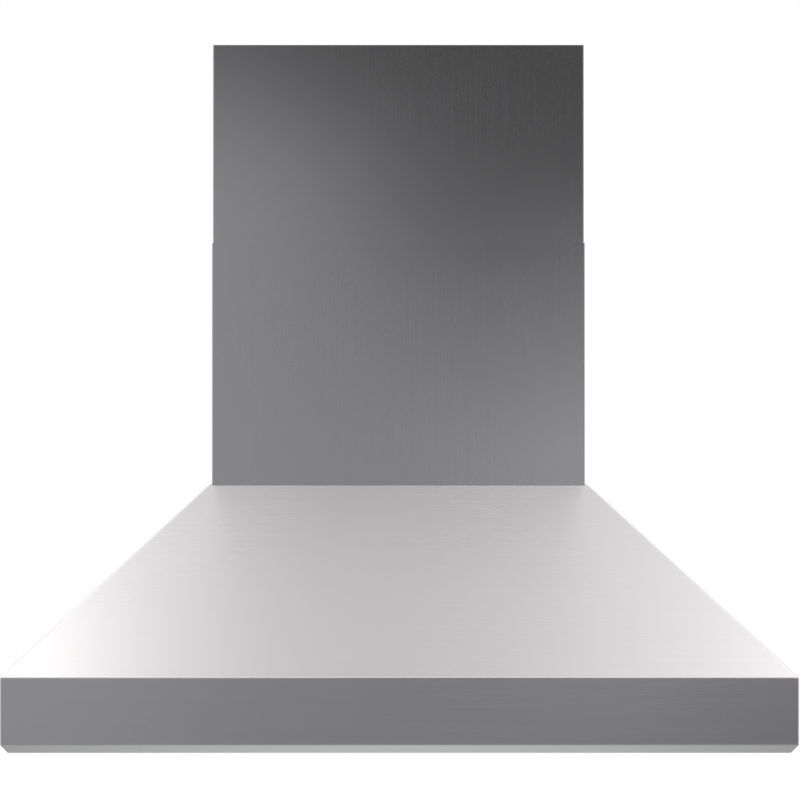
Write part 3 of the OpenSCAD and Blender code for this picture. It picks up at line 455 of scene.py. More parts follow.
def swept(rows: Sequence[Sequence[Point]], bend: float = 0.0, segments: int = 4) -> BMesh:
    """Draws a sheet out from an open line, and rounds its bends.

    Args:
        rows: Points of the line, and their places after each step.
        bend: Width of the rounding at each bend, or 0 for none.
        segments: Facets of a bend.

    Returns:
        The sheet without thickness, whose bends are marked in a layer named fold.
    """
    bm = bmesh.new()
    row = [bm.verts.new(p) for p in rows[0]]
    edges = [bm.edges.new(pair) for pair in zip(row, row[1:])]
    for places in rows[1:]:
        made = bmesh.ops.extrude_edge_only(bm, edges=edges)["geom"]
        fresh = [item for item in made if isinstance(item, BMVert)]
        row = [min(fresh, key=lambda v: (v.co - old.co).length) for old in row]
        for vert, place in zip(row, places):
            vert.co = place
        edges = [edge for edge in bm.edges if edge.verts[0] in row and edge.verts[1] in row]
    bmesh.ops.recalc_face_normals(bm, faces=bm.faces)
    if bend:
        layer = bm.faces.layers.int.new("fold")
        for face in rounded(bm, folded(bm, BEND_ANGLE), bend, segments):
            face[layer] = 1
    return bm


def rivet(radius: float = 2.2, rise: float = 0.8) -> BMesh:
    """Low domed rivet head with its underside at the origin."""
    return turned([(0.0, rise), (radius * 0.5, rise * 0.86), (radius * 0.85, rise * 0.42),
                   (radius, 0.05), (radius, -0.2)], 20)


def spot_weld() -> BMesh:
    """Shallow ring that a spot weld leaves, with its underside at the origin."""
    return turned([(0.0, 0.02), (1.1, 0.02), (1.7, 0.1), (2.2, 0.1), (2.8, 0.01), (2.8, -0.1)], 20)


def grommet(hole: float, low: float, high: float) -> BMesh:
    """Rubber ring round a lead, in a hole of a sheet between two heights."""
    head = [(hole, -1.4), (6.4, -1.4), (7.0, -0.9), (7.0, 0.0), (4.9, 0.0)]
    return turned([(r, low + z) for r, z in head] + [(r, high - z) for r, z in head[::-1]],
                  32, True)


class Form:
    """A mesh in the making, in millimetres, which ends as a piece of the hood."""

    def __init__(self, node: str = "") -> None:
        """Starts empty, or from a merged copy of a CAD node.

        Args:
            node: The CAD node to copy, or none.
        """
        self.bm = bmesh.new()
        if node:
            self.bm.from_mesh(frame["nodes"][node].data)
            bmesh.ops.scale(self.bm, vec=(1 / MM,) * 3, verts=self.bm.verts)
            bmesh.ops.remove_doubles(self.bm, verts=self.bm.verts, dist=MERGE)
            bmesh.ops.dissolve_limit(self.bm, angle_limit=FLAT_ANGLE, verts=self.bm.verts,
                                     edges=self.bm.edges)

    def take(self, part: BMesh, place: Matrix | None = None, finish: int = 0) -> "Form":
        """Adds a part at its place.

        Args:
            part: The part, which is used up.
            place: Where it goes.
            finish: Number of its material.

        Returns:
            This form.
        """
        if place is not None:
            bmesh.ops.transform(part, matrix=place, verts=part.verts)
            if place.determinant() < 0:
                bmesh.ops.reverse_faces(part, faces=part.faces)
        for face in part.faces:
            face.material_index = finish
        mesh = bpy.data.meshes.new("part")
        part.to_mesh(mesh)
        part.free()
        self.bm.from_mesh(mesh)
        bpy.data.meshes.remove(mesh)
        return self

    def soften(self, width: float) -> None:
        """Rounds every sharp edge to a width."""
        rounded(self.bm, folded(self.bm, SHARP_ANGLE), width)

    def piece(self, name: str, body: str, slot: str, finishes: Sequence[Material] = (),
              stands_for: Iterable[str] = (), pick: Pick | None = None, sheet: float = 0.0,
              smooth: float = 38.0) -> Object:
        """Ends the form as a piece that rides on its body.

        Args:
            name: Name of the piece.
            body: CAD body that it moves with.
            slot: The record's material slot.
            finishes: Its materials, or none for the slot's own.
            stands_for: CAD nodes that it replaces.
            pick: Gives a face's material number.
            sheet: Thickness to give an open sheet, inwards.
            smooth: Greatest angle that is shaded smooth, in degrees.

        Returns:
            The piece.
        """
        if pick is not None:
            self.bm.normal_update()
            for face in self.bm.faces:
                face.material_index = pick(face)
        bmesh.ops.scale(self.bm, vec=(MM,) * 3, verts=self.bm.verts)
        mesh = bpy.data.meshes.new(name)
        self.bm.to_mesh(mesh)
        self.bm.free()
        for material in finishes or (finish_of(slot),):
            mesh.materials.append(material)
        mesh.shade_smooth()
        mesh.set_sharp_from_angle(angle=math.radians(smooth))
        obj = linked(name, mesh)
        if sheet:
            skin = obj.modifiers.new("thickness", "SOLIDIFY")
            skin.thickness, skin.offset, skin.use_even_offset = sheet * MM, -1.0, True
        flats = obj.modifiers.new("flat_faces", "WEIGHTED_NORMAL")
        flats.keep_sharp = True
        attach(obj, body)
        if stands_for:
            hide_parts(*stands_for)
        LOG.info("%s: %d faces on %s", name, len(mesh.polygons), body)
        return obj


def dress(node: str, width: float = 0.25, grain: Grain = Grain.ACROSS, pick: Pick | None = None,
          extra: Callable[[Form], None] | None = None) -> Object:
    """Makes a CAD node's softened stand-in in its own finish.

    Args:
        node: The CAD node.
        width: Width of its broken edges, or 0 for none.
        grain: Direction of its grain.
        pick: Gives a face's material number, of grain across, deep and upright.
        extra: Adds details to the form.

    Returns:
        The piece.
    """
    form = Form(node)
    if width:
        form.soften(width)
    if extra:
        extra(form)
    slot = SLOT_OF[node]
    finishes = [finish_of(slot, g) for g in Grain] if pick else [finish_of(slot, grain)]
    return form.piece(f"{node}_dressed", BODY_OF[node], slot, finishes, (node,), pick)


def by_side(face: BMFace) -> int:
    """Grain across on the front and the flats, and deep on the sides."""
    return 1 if abs(face.normal.x) > 0.5 else 0


def at(x: float, y: float, z: float, to: Point = UP) -> Matrix:
    """Place of a part whose own upright axis is turned to a direction."""
    turn = Vector(UP).rotation_difference(Vector(to))
    return Matrix.Translation((x, y, z)) @ turn.to_matrix().to_4x4()


def spun(angle: float) -> Matrix:
    """Turn about the upright axis, in radians."""
    return Matrix.Rotation(angle, 4, "Z")


def linked(name: str, data: ID) -> Object:
    """Makes an object of some data and puts it in the scene.

    Args:
        name: Name of the object.
        data: Its mesh, lamp or camera.

    Returns:
        The object.
    """
    obj = bpy.data.objects.new(name, data)
    bpy.context.scene.collection.objects.link(obj)
    return obj


# Sub-assemblies


@dataclass
class Canopy:
    """Folded canopy skin and the plates behind it.

    Attributes:
        half: Half the width across the band.
        depth: Depth from the wall to the band.
        height: Height to the chimney's foot.
        band: Height of the upright band.
        lip: Height of the bevelled lip.
        lip_in: How far the lip runs in.
        turn: Width of the flange under the lip.
        top_half: Half the width at the top.
        top_front: Depth at the top.
        top_turn: Width of the flange at the top.
        sheet: Thickness of the sheet.
        bend: Width of the rounding at a fold.
    """

    half: float = 457.0
    depth: float = 559.0
    height: float = 300.0
    band: float = 77.0
    lip: float = 10.0
    lip_in: float = 8.0
    turn: float = 18.0
    top_half: float = 232.5
    top_front: float = 309.0
    top_turn: float = 25.0
    sheet: float = 1.0
    bend: float = 1.3

    def level(self, half: float, front: float, z: float) -> list[Point]:
        """Outline at a height, open towards the wall."""
        return [(-half, 0.0, z), (-half, -front, z), (half, -front, z), (half, 0.0, z)]

    def skin(self) -> None:
        """Makes the folded skin."""
        low_half, low_front = self.half - self.lip_in, self.depth - self.lip_in
        levels = [
            self.level(low_half - self.turn, low_front - self.turn, 0.0),
            self.level(low_half, low_front, 0.0),
            self.level(self.half, self.depth, self.lip),
            self.level(self.half, self.depth, self.lip + self.band),
            self.level(self.top_half, self.top_front, self.height),
            self.level(self.top_half - self.top_turn, self.top_front - self.top_turn, self.height)]
        form = Form().take(swept(levels, self.bend))
        middle = Vector((0.0, -self.depth / 2, self.height / 2))
        outward = sum((face.calc_center_median() - middle).dot(face.normal) * face.calc_area()
                      for face in form.bm.faces)
        if outward < 0:
            bmesh.ops.reverse_faces(form.bm, faces=form.bm.faces)
        fold = form.bm.faces.layers.int["fold"]
        steels = [finish_of("brushed_steel", grain) for grain in Grain]

        def pick(face: BMFace) -> int:
            """Lighter fold steel on every fold but the lowest, partly polish from wear and partly a
            painted highlight, and plain grain elsewhere.
            """
            worn_and_highlighted = face.calc_center_median().z > self.lip / 2
            return len(steels) if face[fold] and worn_and_highlighted else by_side(face)

        # The last material is the lighter fold steel: a painted highlight along the upper bends,
        # partly wear.
        form.piece("canopy_skin", "hood", "brushed_steel",
                   [*steels, FOLD_WEAR_AND_HIGHLIGHT.material(Grain.ACROSS)], ("canopy_shell",), pick,
                   self.sheet)

    def tacks(self) -> None:
        """Makes the back panel's spot welds, along its foot and up both slopes."""
        places = [((i - 5) * 82.0, 9.0) for i in range(11)]
        places += [(s * (440.0 - i * 52.0), 98.0 + i * 48.0) for s in BOTH for i in range(4)]
        form = Form()
        for x, z in places:
            form.take(spot_weld(), at(x, -0.1, z, TO_WALL))
        form.piece("back_tacks", "hood", "galvanised_sheet")

    def build(self) -> None:
        """Makes the skin, the back panel with its welds, and the blower plate."""
        self.skin()
        dress("back_panel")
        self.tacks()
        dress("top_plate")


@dataclass
class Cover:
    """One of the chimney's covers, folded from a sheet, with flanges along the wall.

    Attributes:
        half: Half the width.
        front: Depth of the front face.
        back: Distance of the wall flanges from the wall.
        low: Height of the foot.
        high: Height of the top.
        flange: Width of the wall flanges.
        foot: Width of the foot turned in, or 0.
        sheet: Thickness of the sheet.
        bend: Width of the rounding at a fold.
    """

    half: float
    front: float
    back: float
    low: float
    high: float
    flange: float = 20.0
    foot: float = 0.0
    sheet: float = 0.8
    bend: float = 1.4

    def line(self, z: float) -> list[Point]:
        """Outline at a height."""
        right = [(self.half - self.flange, -self.back, z), (self.half, -self.back, z),
                 (self.half, -self.front, z)]
        return [(-x, y, z) for x, y, z in right] + right[::-1]

    def skin(self, name: str, body: str, node: str) -> None:
        """Makes the folded cover.

        Args:
            name: Name of the piece.
            body: CAD body that it moves with.
            node: CAD node that it stands for.
        """
        form = Form().take(swept([self.line(self.low), self.line(self.high)], self.bend))
        middle = Vector((0.0, -self.front / 2, (self.low + self.high) / 2))
        if self.foot:
            rows = [[(-half, -self.sheet, self.low), (-half, -front, self.low),
                     (half, -front, self.low), (half, -self.sheet, self.low)]
                    for half, front in ((self.half - self.sheet, self.front - self.sheet),
                                        (self.half - self.foot, self.front - self.foot))]
            form.take(swept(rows))
        for face in form.bm.faces:
            level = abs(face.normal.z) > 0.9
            outward = Vector(DOWN) if level else face.calc_center_median() - middle
            if face.normal.dot(outward) < 0:
                face.normal_flip()
        form.piece(name, body, "brushed_steel", [finish_of("brushed_steel", Grain.UPRIGHT)],
                   (node,), sheet=self.sheet)


@dataclass
class Chimney:
    """The two telescoping covers and the wall bracket."""

    lower: Cover
    upper: Cover

    def build(self) -> None:
        """Makes both covers and dresses the bracket."""
        self.lower.skin("lower_cover", "hood", "lower_chimney")
        self.upper.skin("upper_cover_skin", "upper_cover", "upper_chimney")
        dress("upper_bracket", 0.3)


@dataclass
class Underside:
    """Rails round the filters, and the grease tray on its runners."""

    edge: float = 0.3

    def build(self) -> None:
        """Dresses the rails, the runners and the tray."""
        for node in ("front_rail", "rear_rail"):
            dress(node, self.edge)
        for node in ("side_rail_left", "side_rail_right"):
            dress(node, self.edge, Grain.DEEP)
        dress("tray_runners", 0.2)
        dress("grease_tray", 0.2, pick=by_side)


@dataclass
class Filters:
    """Three baffle filters with their bails.

    Attributes:
        pitch: Distance from one filter to the next.
        count: Baffles in the lower row.
        step: Distance from one baffle to the next.
        wide: Width of a lower baffle.
        front: Front end of the baffles.
        back: Rear end of the baffles.
        low: Underside of the baffles.
        high: Top of the baffles.
        side: Height of a baffle's sides.
        under: Underside of the frames.
    """

    pitch: float = 270.0
    count: int = 7
    step: float = 38.0
    wide: float = 30.0
    front: float = 441.7
    back: float = 60.3
    low: float = 39.3
    high: float = 57.3
    side: float = 9.6
    under: float = 38.3

    def baffle(self, half: float, z0: float, z1: float, curl: float) -> BMesh:
        """Channel with curled tips.

        Args:
            half: Half the channel's width.
            z0: Height of its web.
            z1: Height of its tips.
            curl: How far the tips turn in.

        Returns:
            The channel as an open sheet.
        """
        drop = math.copysign(curl * 0.6, z0 - z1)
        profile = [(-half + curl, z1 + drop), (-half, z1), (-half, z0), (half, z0), (half, z1),
                   (half - curl, z1 + drop)]
        rows = [[(x, -y, z) for x, z in profile] for y in (self.front, self.back)]
        return swept(rows, 1.1, 3)

    def rivets(self, form: Form, x: float) -> None:
        """Adds rivets to a frame's corners and to the tongue that carries its bail.

        Args:
            form: The frame.
            x: Place of the frame across the hood.
        """
        for side in BOTH:
            for y in (-436.0, -66.0):
                form.take(rivet(), at(x + side * 127.0, y, self.under, DOWN))
            form.take(rivet(2.6, 1.0), at(x + side * 24.0, -420.0, self.under, DOWN))

    def build(self) -> None:
        """Makes the baffles in two rows that face each other, and dresses frames and bails."""
        rows = ((self.count, self.wide / 2, self.low, self.side, 2.6),
                (self.count - 1, self.wide / 2 - 2, self.high, -self.side, 2.2))
        for i, side in enumerate(SIDES):
            form = Form()
            x = (i - 1) * self.pitch
            for count, half, web, rise, curl in rows:
                for k in range(count):
                    across = x + (k - (count - 1) / 2) * self.step
                    form.take(self.baffle(half, web, web + rise, curl), at(across, 0.0, 0.0))
            form.piece(f"baffles_{side}", f"filter_{side}", "filter_steel",
                       [finish_of("filter_steel", Grain.DEEP)], (f"filter_baffles_{side}",),
                       sheet=0.8)
            dress(f"filter_frame_{side}", pick=by_side,
                  extra=lambda form, x=x: self.rivets(form, x))
            dress(f"filter_handle_{side}", 0.0)


@dataclass
class Blower:
    """Scroll housing, wheel, and the motor on its bracket.

    Attributes:
        centre: The wheel's axis, from the wall and the lowest edge.
        tip: Radius over the blades.
        depth: Depth of a blade.
        blades: Number of blades.
        half: Half the wheel's width.
        ring: Distance of the wheel's end rings from its middle.
        plate: Distance of the housing's outsides from the wheel's middle.
        motor: Radius of the motor.
    """

    centre: Pair = (-105.0, 204.8)
    tip: float = 77.5
    depth: float = 14.0
    blades: int = 36
    half: float = 74.5
    ring: float = 72.5
    plate: float = 80.9
    motor: float = 36.0

    def on_axis(self, x: float = 0.0) -> Matrix:
        """Place of a part whose upright axis becomes the wheel's axis, towards the right."""
        return at(x, *self.centre, TO_RIGHT)

    def on_side(self, side: int, x: float) -> Matrix:
        """Place on the wheel's axis, mirrored on the left so that parts face outwards."""
        return self.on_axis(side * x) @ Matrix.Scale(side, 4, UP)

    def blade(self) -> BMesh:
        """Makes one forward curved blade along the wheel's width.

        Returns:
            The blade as an open sheet.
        """
        line = []
        for i in range(7):
            t = i / 6
            radius = self.tip - self.depth * (1 - t)
            turn = math.radians(2.0 + 13.0 * t * t)
            line.append((radius * math.cos(turn), radius * math.sin(turn)))
        rows = [[(x, y, z) for x, y in line] for z in (-self.half, self.half)]
        return swept(rows)

    def wheel(self) -> None:
        """Makes the wheel: blades, end rings, middle disc and hub."""
        form = Form()
        for i in range(self.blades):
            form.take(self.blade(), self.on_axis() @ spun(math.tau * i / self.blades))
        form.piece("wheel_blades", "wheel", "wheel_steel", sheet=0.8)
        ring = [(75.0, -2.5), (75.6, -2.5), (77.6, -2.2), (78.0, -1.6), (78.0, 1.8), (77.4, 2.5),
                (75.0, 2.5)]
        solid = Form()
        for side in BOTH:
            solid.take(turned(ring, 96, True), self.on_side(side, self.ring))
        hub = [(4.1, -11.0), (10.2, -11.0), (11.0, -10.2), (11.0, -1.6), (14.0, -0.8), (40.0, -0.8),
               (42.5, 0.9), (45.0, -0.8), (74.5, -0.8), (74.5, 0.8), (45.6, 0.8), (42.5, 2.4),
               (39.4, 0.8), (14.0, 0.8), (11.0, 1.6), (11.0, 8.2), (10.2, 9.0), (4.1, 9.0)]
        solid.take(turned(hub, 72, True), self.on_axis())
        solid.piece("wheel_disc", "wheel", "wheel_steel", stands_for=("impeller",))

    def drive(self) -> None:
        """Makes the motor, with ribbed sides and a vented rear bell."""
        r = self.motor
        line = [(4.2, 11.0), (9.4, 11.0), (10.0, 11.6), (10.0, 14.0), (r - 3, 14.0), (r, 16.5)]
        for x in range(22, 84, 6):
            line += [(r, float(x)), (r - 1.4, x + 0.8), (r - 1.4, x + 3.2), (r, x + 4.0)]
        line += [(r, 88.5), (r + 4.4, 88.5), (r + 5, 89.1), (r + 5, 89.9), (r + 4.4, 90.5),
                 (r - 3, 90.5), (r - 3, 98.0), (r - 6, 102.4), (r - 12, 103.5), (r - 18, 103.5),
                 (r - 19, 102.3), (12.0, 102.3), (11.0, 103.5), (0.0, 103.5)]
        form = Form().take(turned(line, 72), self.on_axis())
        for i in range(4):
            bolt = at(0.0, 0.0, 90.5) @ spun(math.tau * (i + 0.5) / 4) @ at(r + 1.2, 0.0, 0.0)
            form.take(pan_head(2.0, 0.62), self.on_axis() @ bolt, 1)
        form.piece("motor_body", "hood", "motor_paint",
                   [finish_of("motor_paint"), finish_of("screw_steel")], ("motor",))

    def build(self) -> None:
        """Makes the wheel and the motor, and dresses the housing."""
        self.wheel()
        self.drive()
        for node in ("blower_scroll", "blower_side_left", "blower_side_right", "motor_bracket"):
            dress(node, 0.2)
        dress("motor_grommets", 0.5)
        dress("motor_shaft", 0.4)
        self.beads()

    def beads(self) -> None:
        """Makes the pressed rings round both inlets and the tacks along the scroll."""
        form = Form()
        bead = [(67.2, 0.0), (68.2, 0.9), (69.4, 1.2), (70.6, 0.9), (71.6, 0.0)]
        for side in BOTH:
            place = self.on_side(side, self.plate)
            form.take(turned(bead, 72), place)
            for i in range(10):
                angle = math.radians(36.0 * i + 18.0)
                if abs(math.sin(angle)) < 0.95:
                    form.take(spot_weld(), place @ spun(angle) @ at(80.0, 0.0, 0.1))
        form.piece("blower_beads", "hood", "galvanised_sheet")


def pan_head(reach: float, size: float = 1.0) -> BMesh:
    """Pan head screw with a six-sided recess, head up and thread down from the origin.

    Args:
        reach: Length under the head.
        size: Factor on the head and the thread.

    Returns:
        The screw.
    """
    line = [(0.0, 0.9), (1.35, 0.9), (1.45, 1.9), (1.7, 2.1), (2.6, 2.0), (3.4, 1.5), (3.75, 0.8),
            (3.8, 0.1), (3.7, 0.0), (2.0, 0.0)]
    line = [(r * size, z * size) for r, z in line]
    turns = max(1, min(6, int(reach / 1.1)))
    rise = 0.3 * reach / turns
    for i in range(turns):
        z = -reach * (i + 0.5) / turns
        line += [(1.65 * size, z + rise), (2.0 * size, z), (1.65 * size, z - rise)]
    line += [(1.4 * size, -reach), (0.0, -reach)]
    bm = turned(line, 24)
    side = math.tau / 6
    for vert in bm.verts:
        if 1.0 * size < vert.co.xy.length < 1.6 * size and vert.co.z > 0.5 * size:
            part = (math.atan2(vert.co.y, vert.co.x) + math.tau) % side - side / 2
            vert.co.xy *= 0.94 / math.cos(part)
    return bm


@dataclass
class Outlet:
    """Duct collar, the rod across it and the two flaps.

    Attributes:
        y: Place of the collar's axis.
        base: Top of the blower plate.
        radius: Outside radius of the collar.
        height: Height of the collar.
        flange: Radius of its flange.
        rod: Height of the rod.
    """

    y: float = -152.5
    base: float = 299.0
    radius: float = 101.0
    height: float = 66.0
    flange: float = 119.0
    rod: float = 325.0

    def collar(self) -> None:
        """Makes the collar, with a stop ring and a rolled bead, and dresses the rod."""
        r, z, top, rod = self.radius, self.base, self.base + self.height, self.rod
        line = [(r - 1, z), (r + 17.6, z), (self.flange, z + 0.4), (r + 17.6, z + 1),
                (r + 1.2, z + 1), (r, z + 2.2), (r, top - 16), (r - 1.6, top - 14.5),
                (r - 1.6, top - 12.5), (r, top - 11), (r, top - 0.4), (r - 0.5, top),
                (r - 1, top - 0.4), (r - 1, top - 10.6), (r - 2.6, top - 12.3),
                (r - 2.6, top - 14.7), (r - 1, top - 16.4), (r - 1, rod - 0.8),
                (r - 5.6, rod - 0.8), (r - 6, rod - 1.6), (r - 5.6, rod - 2.5), (r - 1, rod - 2.5)]
        Form().take(turned(line, 128, True), at(0.0, self.y, 0.0)).piece(
            "collar_body", "hood", "galvanised_sheet", stands_for=("duct_collar",))
        dress("damper_rod", 0.4)

    def build(self) -> None:
        """Makes the collar and dresses the flaps."""
        self.collar()
        for side, name in zip(BOTH, ("front", "rear")):
            dress(f"damper_flap_{name}", extra=lambda form, s=side: self.ribs(form, s))

    def ribs(self, form: Form, side: int) -> None:
        """Adds pressed ribs and rivets to a flap.

        Args:
            form: The flap.
            side: -1 for the front flap, 1 for the rear one.
        """
        for x in (-44.0, 0.0, 44.0):
            reach = 70.0 - abs(x) * 0.4
            line = [(x - 3.2, 0.0), (x - 1.6, 1.1), (x + 1.6, 1.1), (x + 3.2, 0.0)]
            rows = [[(a, self.y + side * b, self.rod + 0.48 + h * k) for a, h in line]
                    for b, k in ((13.0, 0.0), (17.0, 1.0), (reach - 4.0, 1.0), (reach, 0.0))]
            form.take(swept(rows))
        for x in (-70.0, -22.0, 22.0, 70.0):
            form.take(rivet(2.0, 0.9), at(x, self.y + side * 8.5, self.rod + 0.5))


@dataclass
class Electrics:
    """Boxes on the blower plate, and the leads between the electric pieces.

    Attributes:
        can: Place of the capacitor.
        tab: Distance of the capacitor's tabs from its middle.
        radius: Radius of the capacitor.
        height: Height of the capacitor.
        base: Top of the blower plate.
        box_top: Top of the junction box.
    """

    can: Pair = (168.0, -225.0)
    tab: float = 5.0
    radius: float = 17.0
    height: float = 55.0
    base: float = Outlet.base
    box_top: float = 341.0

    def tabs(self) -> list[float]:
        """Places of the capacitor's tabs across the hood."""
        return [self.can[0] + side * self.tab for side in BOTH]

    def capacitor(self) -> None:
        """Makes the capacitor with its crimped rim and two tabs."""
        r, y, z, top = self.radius, self.can[1], self.base, self.base + self.height
        line = [(0.0, z), (r - 1.5, z), (r, z + 1.5), (r, top - 9), (r - 1.2, top - 8),
                (r - 1.2, top - 6.6), (r, top - 5.6), (r, top - 0.8), (r - 0.8, top),
                (r - 2.0, top), (r - 2.6, top - 1.4), (0.0, top - 1.4)]
        collar = [(0.0, top), (2.6, top), (3.4, top - 0.4), (3.4, top - 1.4)]
        form = Form().take(turned(line, 64), at(*self.can, 0.0))
        for x in self.tabs():
            form.take(block((x - 0.4, y - 3, top - 2), (x + 0.4, y + 3, top + 8), 0.15), finish=1)
            form.take(turned(collar, 24), at(x, y, 0.0))
        form.piece("capacitor_can", "hood", "white_plastic",
                   [finish_of("white_plastic"), finish_of("screw_steel")], ("capacitor",))

    def leads(self) -> None:
        """Rounds the leads, and adds grommets, the capacitor's plugs and ties."""
        for node in ("motor_leads", "lamp_leads", "control_leads"):
            piece = dress(node, 0.0)
            piece.modifiers.remove(piece.modifiers["flat_faces"])
            round_off = piece.modifiers.new("round", "SUBSURF")
            round_off.levels = round_off.render_levels = 1
        rings, plugs = Form(), Form()
        for x, y, hole, floor in ((150.0, -100.0, 3.05, 1.2), (170.0, -100.0, 3.05, 1.2),
                                  (-203.0, -85.0, 2.15, 0.0), (-195.0, -125.0, 2.15, 0.0)):
            rings.take(grommet(hole, self.base - 1.2, self.base + floor), at(x, y, 0.0))
        boot = [(1.45, 0.0), (3.0, 0.0), (3.0, 1.2), (2.4, 3.0), (1.45, 3.0)]
        y, z = self.can[1], self.base
        for x in self.tabs():
            rings.take(turned(boot, 20, True), at(x, -138.0, z + 42.0))
            plugs.take(block((x - 1.7, y - 4.0, z + 55.6), (x + 1.7, y + 4.0, z + 66.5), 0.8))
        rings.piece("lead_grommets", "hood", "grommet_rubber")
        plugs.piece("capacitor_plugs", "hood", "white_plastic")
        self.ties()

    def ties(self) -> None:
        """Makes the ties that hold the lamp leads to the inside of the slope."""
        inward = Vector((0.0, 0.6486, -0.7612))
        band_top, band_front, slope = 87.0, 547.46, 250 / 213
        high, drop, forward = 285.8, 176.8, 207.5
        loop = [(2.2, -1.6), (3.0, -1.6), (3.0, 1.6), (2.2, 1.6)]
        form = Form()
        for start, end in ((-203.0, -300.0), (-195.0, 300.0)):
            run = Vector((end - start, -forward, -drop)).normalized()
            turn = Matrix((run, inward.cross(run).normalized(), inward)).transposed().to_4x4()
            for share in (0.25, 0.5, 0.75):
                z = high - drop * share
                y = (z - band_top) * slope - band_front
                place = at(start + share * (end - start), y, z) @ turn
                form.take(block((-6.0, -6.0, -6.4), (6.0, 6.0, -2.4), 0.6), place)
                form.take(turned(loop, 28, True), place @ Matrix.Rotation(math.pi / 2, 4, "Y"))
        form.piece("lead_ties", "hood", "white_plastic")

    def knockouts(self, form: Form) -> None:
        """Adds knockouts to the junction box's side, a ring round its entry, and its welds.

        Args:
            form: The box.
        """
        blank = [(0.0, 0.18), (9.8, 0.18), (10.3, 0.02), (10.8, 0.02), (11.2, 0.3), (12.6, 0.25),
                 (13.2, -0.1)]
        entry = [(11.1, 0.0), (11.3, 0.3), (12.8, 0.3), (13.3, -0.1)]
        for y in (-88.0, -122.0):
            form.take(turned(blank, 48), at(198.0, y, 321.0, TO_RIGHT))
        form.take(turned(entry, 48), at(163.0, -105.0, self.box_top))
        for x in (132.5, 193.5):
            for y in (-67.0, -105.0, -143.0):
                form.take(spot_weld(), at(x, y, self.box_top))

    def boxes(self) -> None:
        """Makes the junction box with its cover, the clip, the lamp driver and their screws."""
        dress("junction_box", 0.3, extra=self.knockouts)
        cover = Form().take(block((128.0, -151.2, self.base), (198.0, -150.0, self.box_top), 0.35))
        for z in (304.5, 328.5):
            cover.take(block((141.0, -151.75, z), (185.0, -151.0, z + 7.0), 0.5))
        for x in (135.0, 191.0):
            cover.take(pan_head(1.0), at(x, -151.2, 320.0, TO_FRONT), 1)
        cover.piece("junction_cover_plate", "hood", "galvanised_sheet",
                    [finish_of("galvanised_sheet"), finish_of("screw_steel")],
                    ("junction_box_cover",))
        dress("capacitor_clip", 0.3)
        self.driver()
        screws = Form()
        screws.take(pan_head(3.0), at(self.can[0] + 27.8, self.can[1], self.base + 1.5))
        for y in (-54.0, -156.0):
            screws.take(pan_head(3.0), at(-155.0, y, self.base + 3.0))
        screws.piece("box_screws", "hood", "screw_steel")

    def driver(self) -> None:
        """Makes the lamp driver: a lidded case with foot, ribs and a blank label."""
        solids = [((-185.0, -150.0, 0.0), (-125.0, -60.0, 18.6), 1.0),
                  ((-184.3, -149.3, 17.0), (-125.7, -60.7, 21.0), 0.4),
                  ((-185.0, -150.0, 19.3), (-125.0, -60.0, 26.0), 1.4),
                  ((-167.0, -162.0, 0.0), (-143.0, -48.0, 3.0), 0.6)]
        solids += [((-179.0, y - 1.1, 25.6), (-131.0, y + 1.1, 26.7), 0.5)
                   for y in (-144.0, -139.0, -71.0, -66.0)]
        label = block((-174.0, -130.0, 25.9), (-136.0, -80.0, 26.12), 0.08)
        lift = at(0.0, 0.0, self.base)
        form = Form()
        for low, high, edge in solids:
            form.take(block(low, high, edge), lift)
        form.take(label, lift, 1)
        form.piece("driver_case", "hood", "white_plastic",
                   [finish_of("white_plastic"), finish_of("board_resin")], ("led_driver",))

    def build(self) -> None:
        """Makes the capacitor, the boxes and what belongs to the leads."""
        self.capacitor()
        self.boxes()
        self.leads()


@dataclass
class Lamps:
    """The two lamps.

    Attributes:
        x: Distance from the centre line.
        y: Place from the wall.
        rail: Height of the rail that carries them.
    """

    x: float = 300.0
    y: float = -501.5
    rail: float = 30.0

    def lens(self) -> BMesh:
        """Makes a lens with pressed rings.

        Returns:
            The lens about the upright axis.
        """
        z = self.rail
        line = [(0.0, z + 0.15)]
        for i in range(9):
            line += [(1.7 + i * 2.4, z + 1.0), (2.7 + i * 2.4, z + 0.15)]
        line += [(28.3, z), (28.7, z + 0.4), (28.7, z + 1.6), (28.3, z + 2.0), (0.0, z + 2.0)]
        return turned(line, 72)

    def build(self) -> None:
        """Makes bezels and lenses, and dresses cans and boards."""
        z = self.rail
        ring = [(24.0, z), (24.0, z - 0.15), (27.6, z - 1.35), (28.2, z - 1.6), (30.6, z - 1.6),
                (31.2, z - 1.4), (35.4, z - 0.55), (36.0, z - 0.15), (36.0, z)]
        for side, s in zip(SIDES[::2], BOTH):
            place = at(s * self.x, self.y, 0.0)
            Form().take(turned(ring, 96, True), place).piece(
                f"bezel_{side}", "hood", "polished_steel", stands_for=(f"lamp_bezel_{side}",))
            Form().take(self.lens(), place).piece(
                f"lens_{side}", "hood", "frosted_glass", stands_for=(f"lamp_lens_{side}",),
                smooth=60.0)
            dress(f"lamp_can_{side}", 0.3)
        dress("led_boards", 0.2)


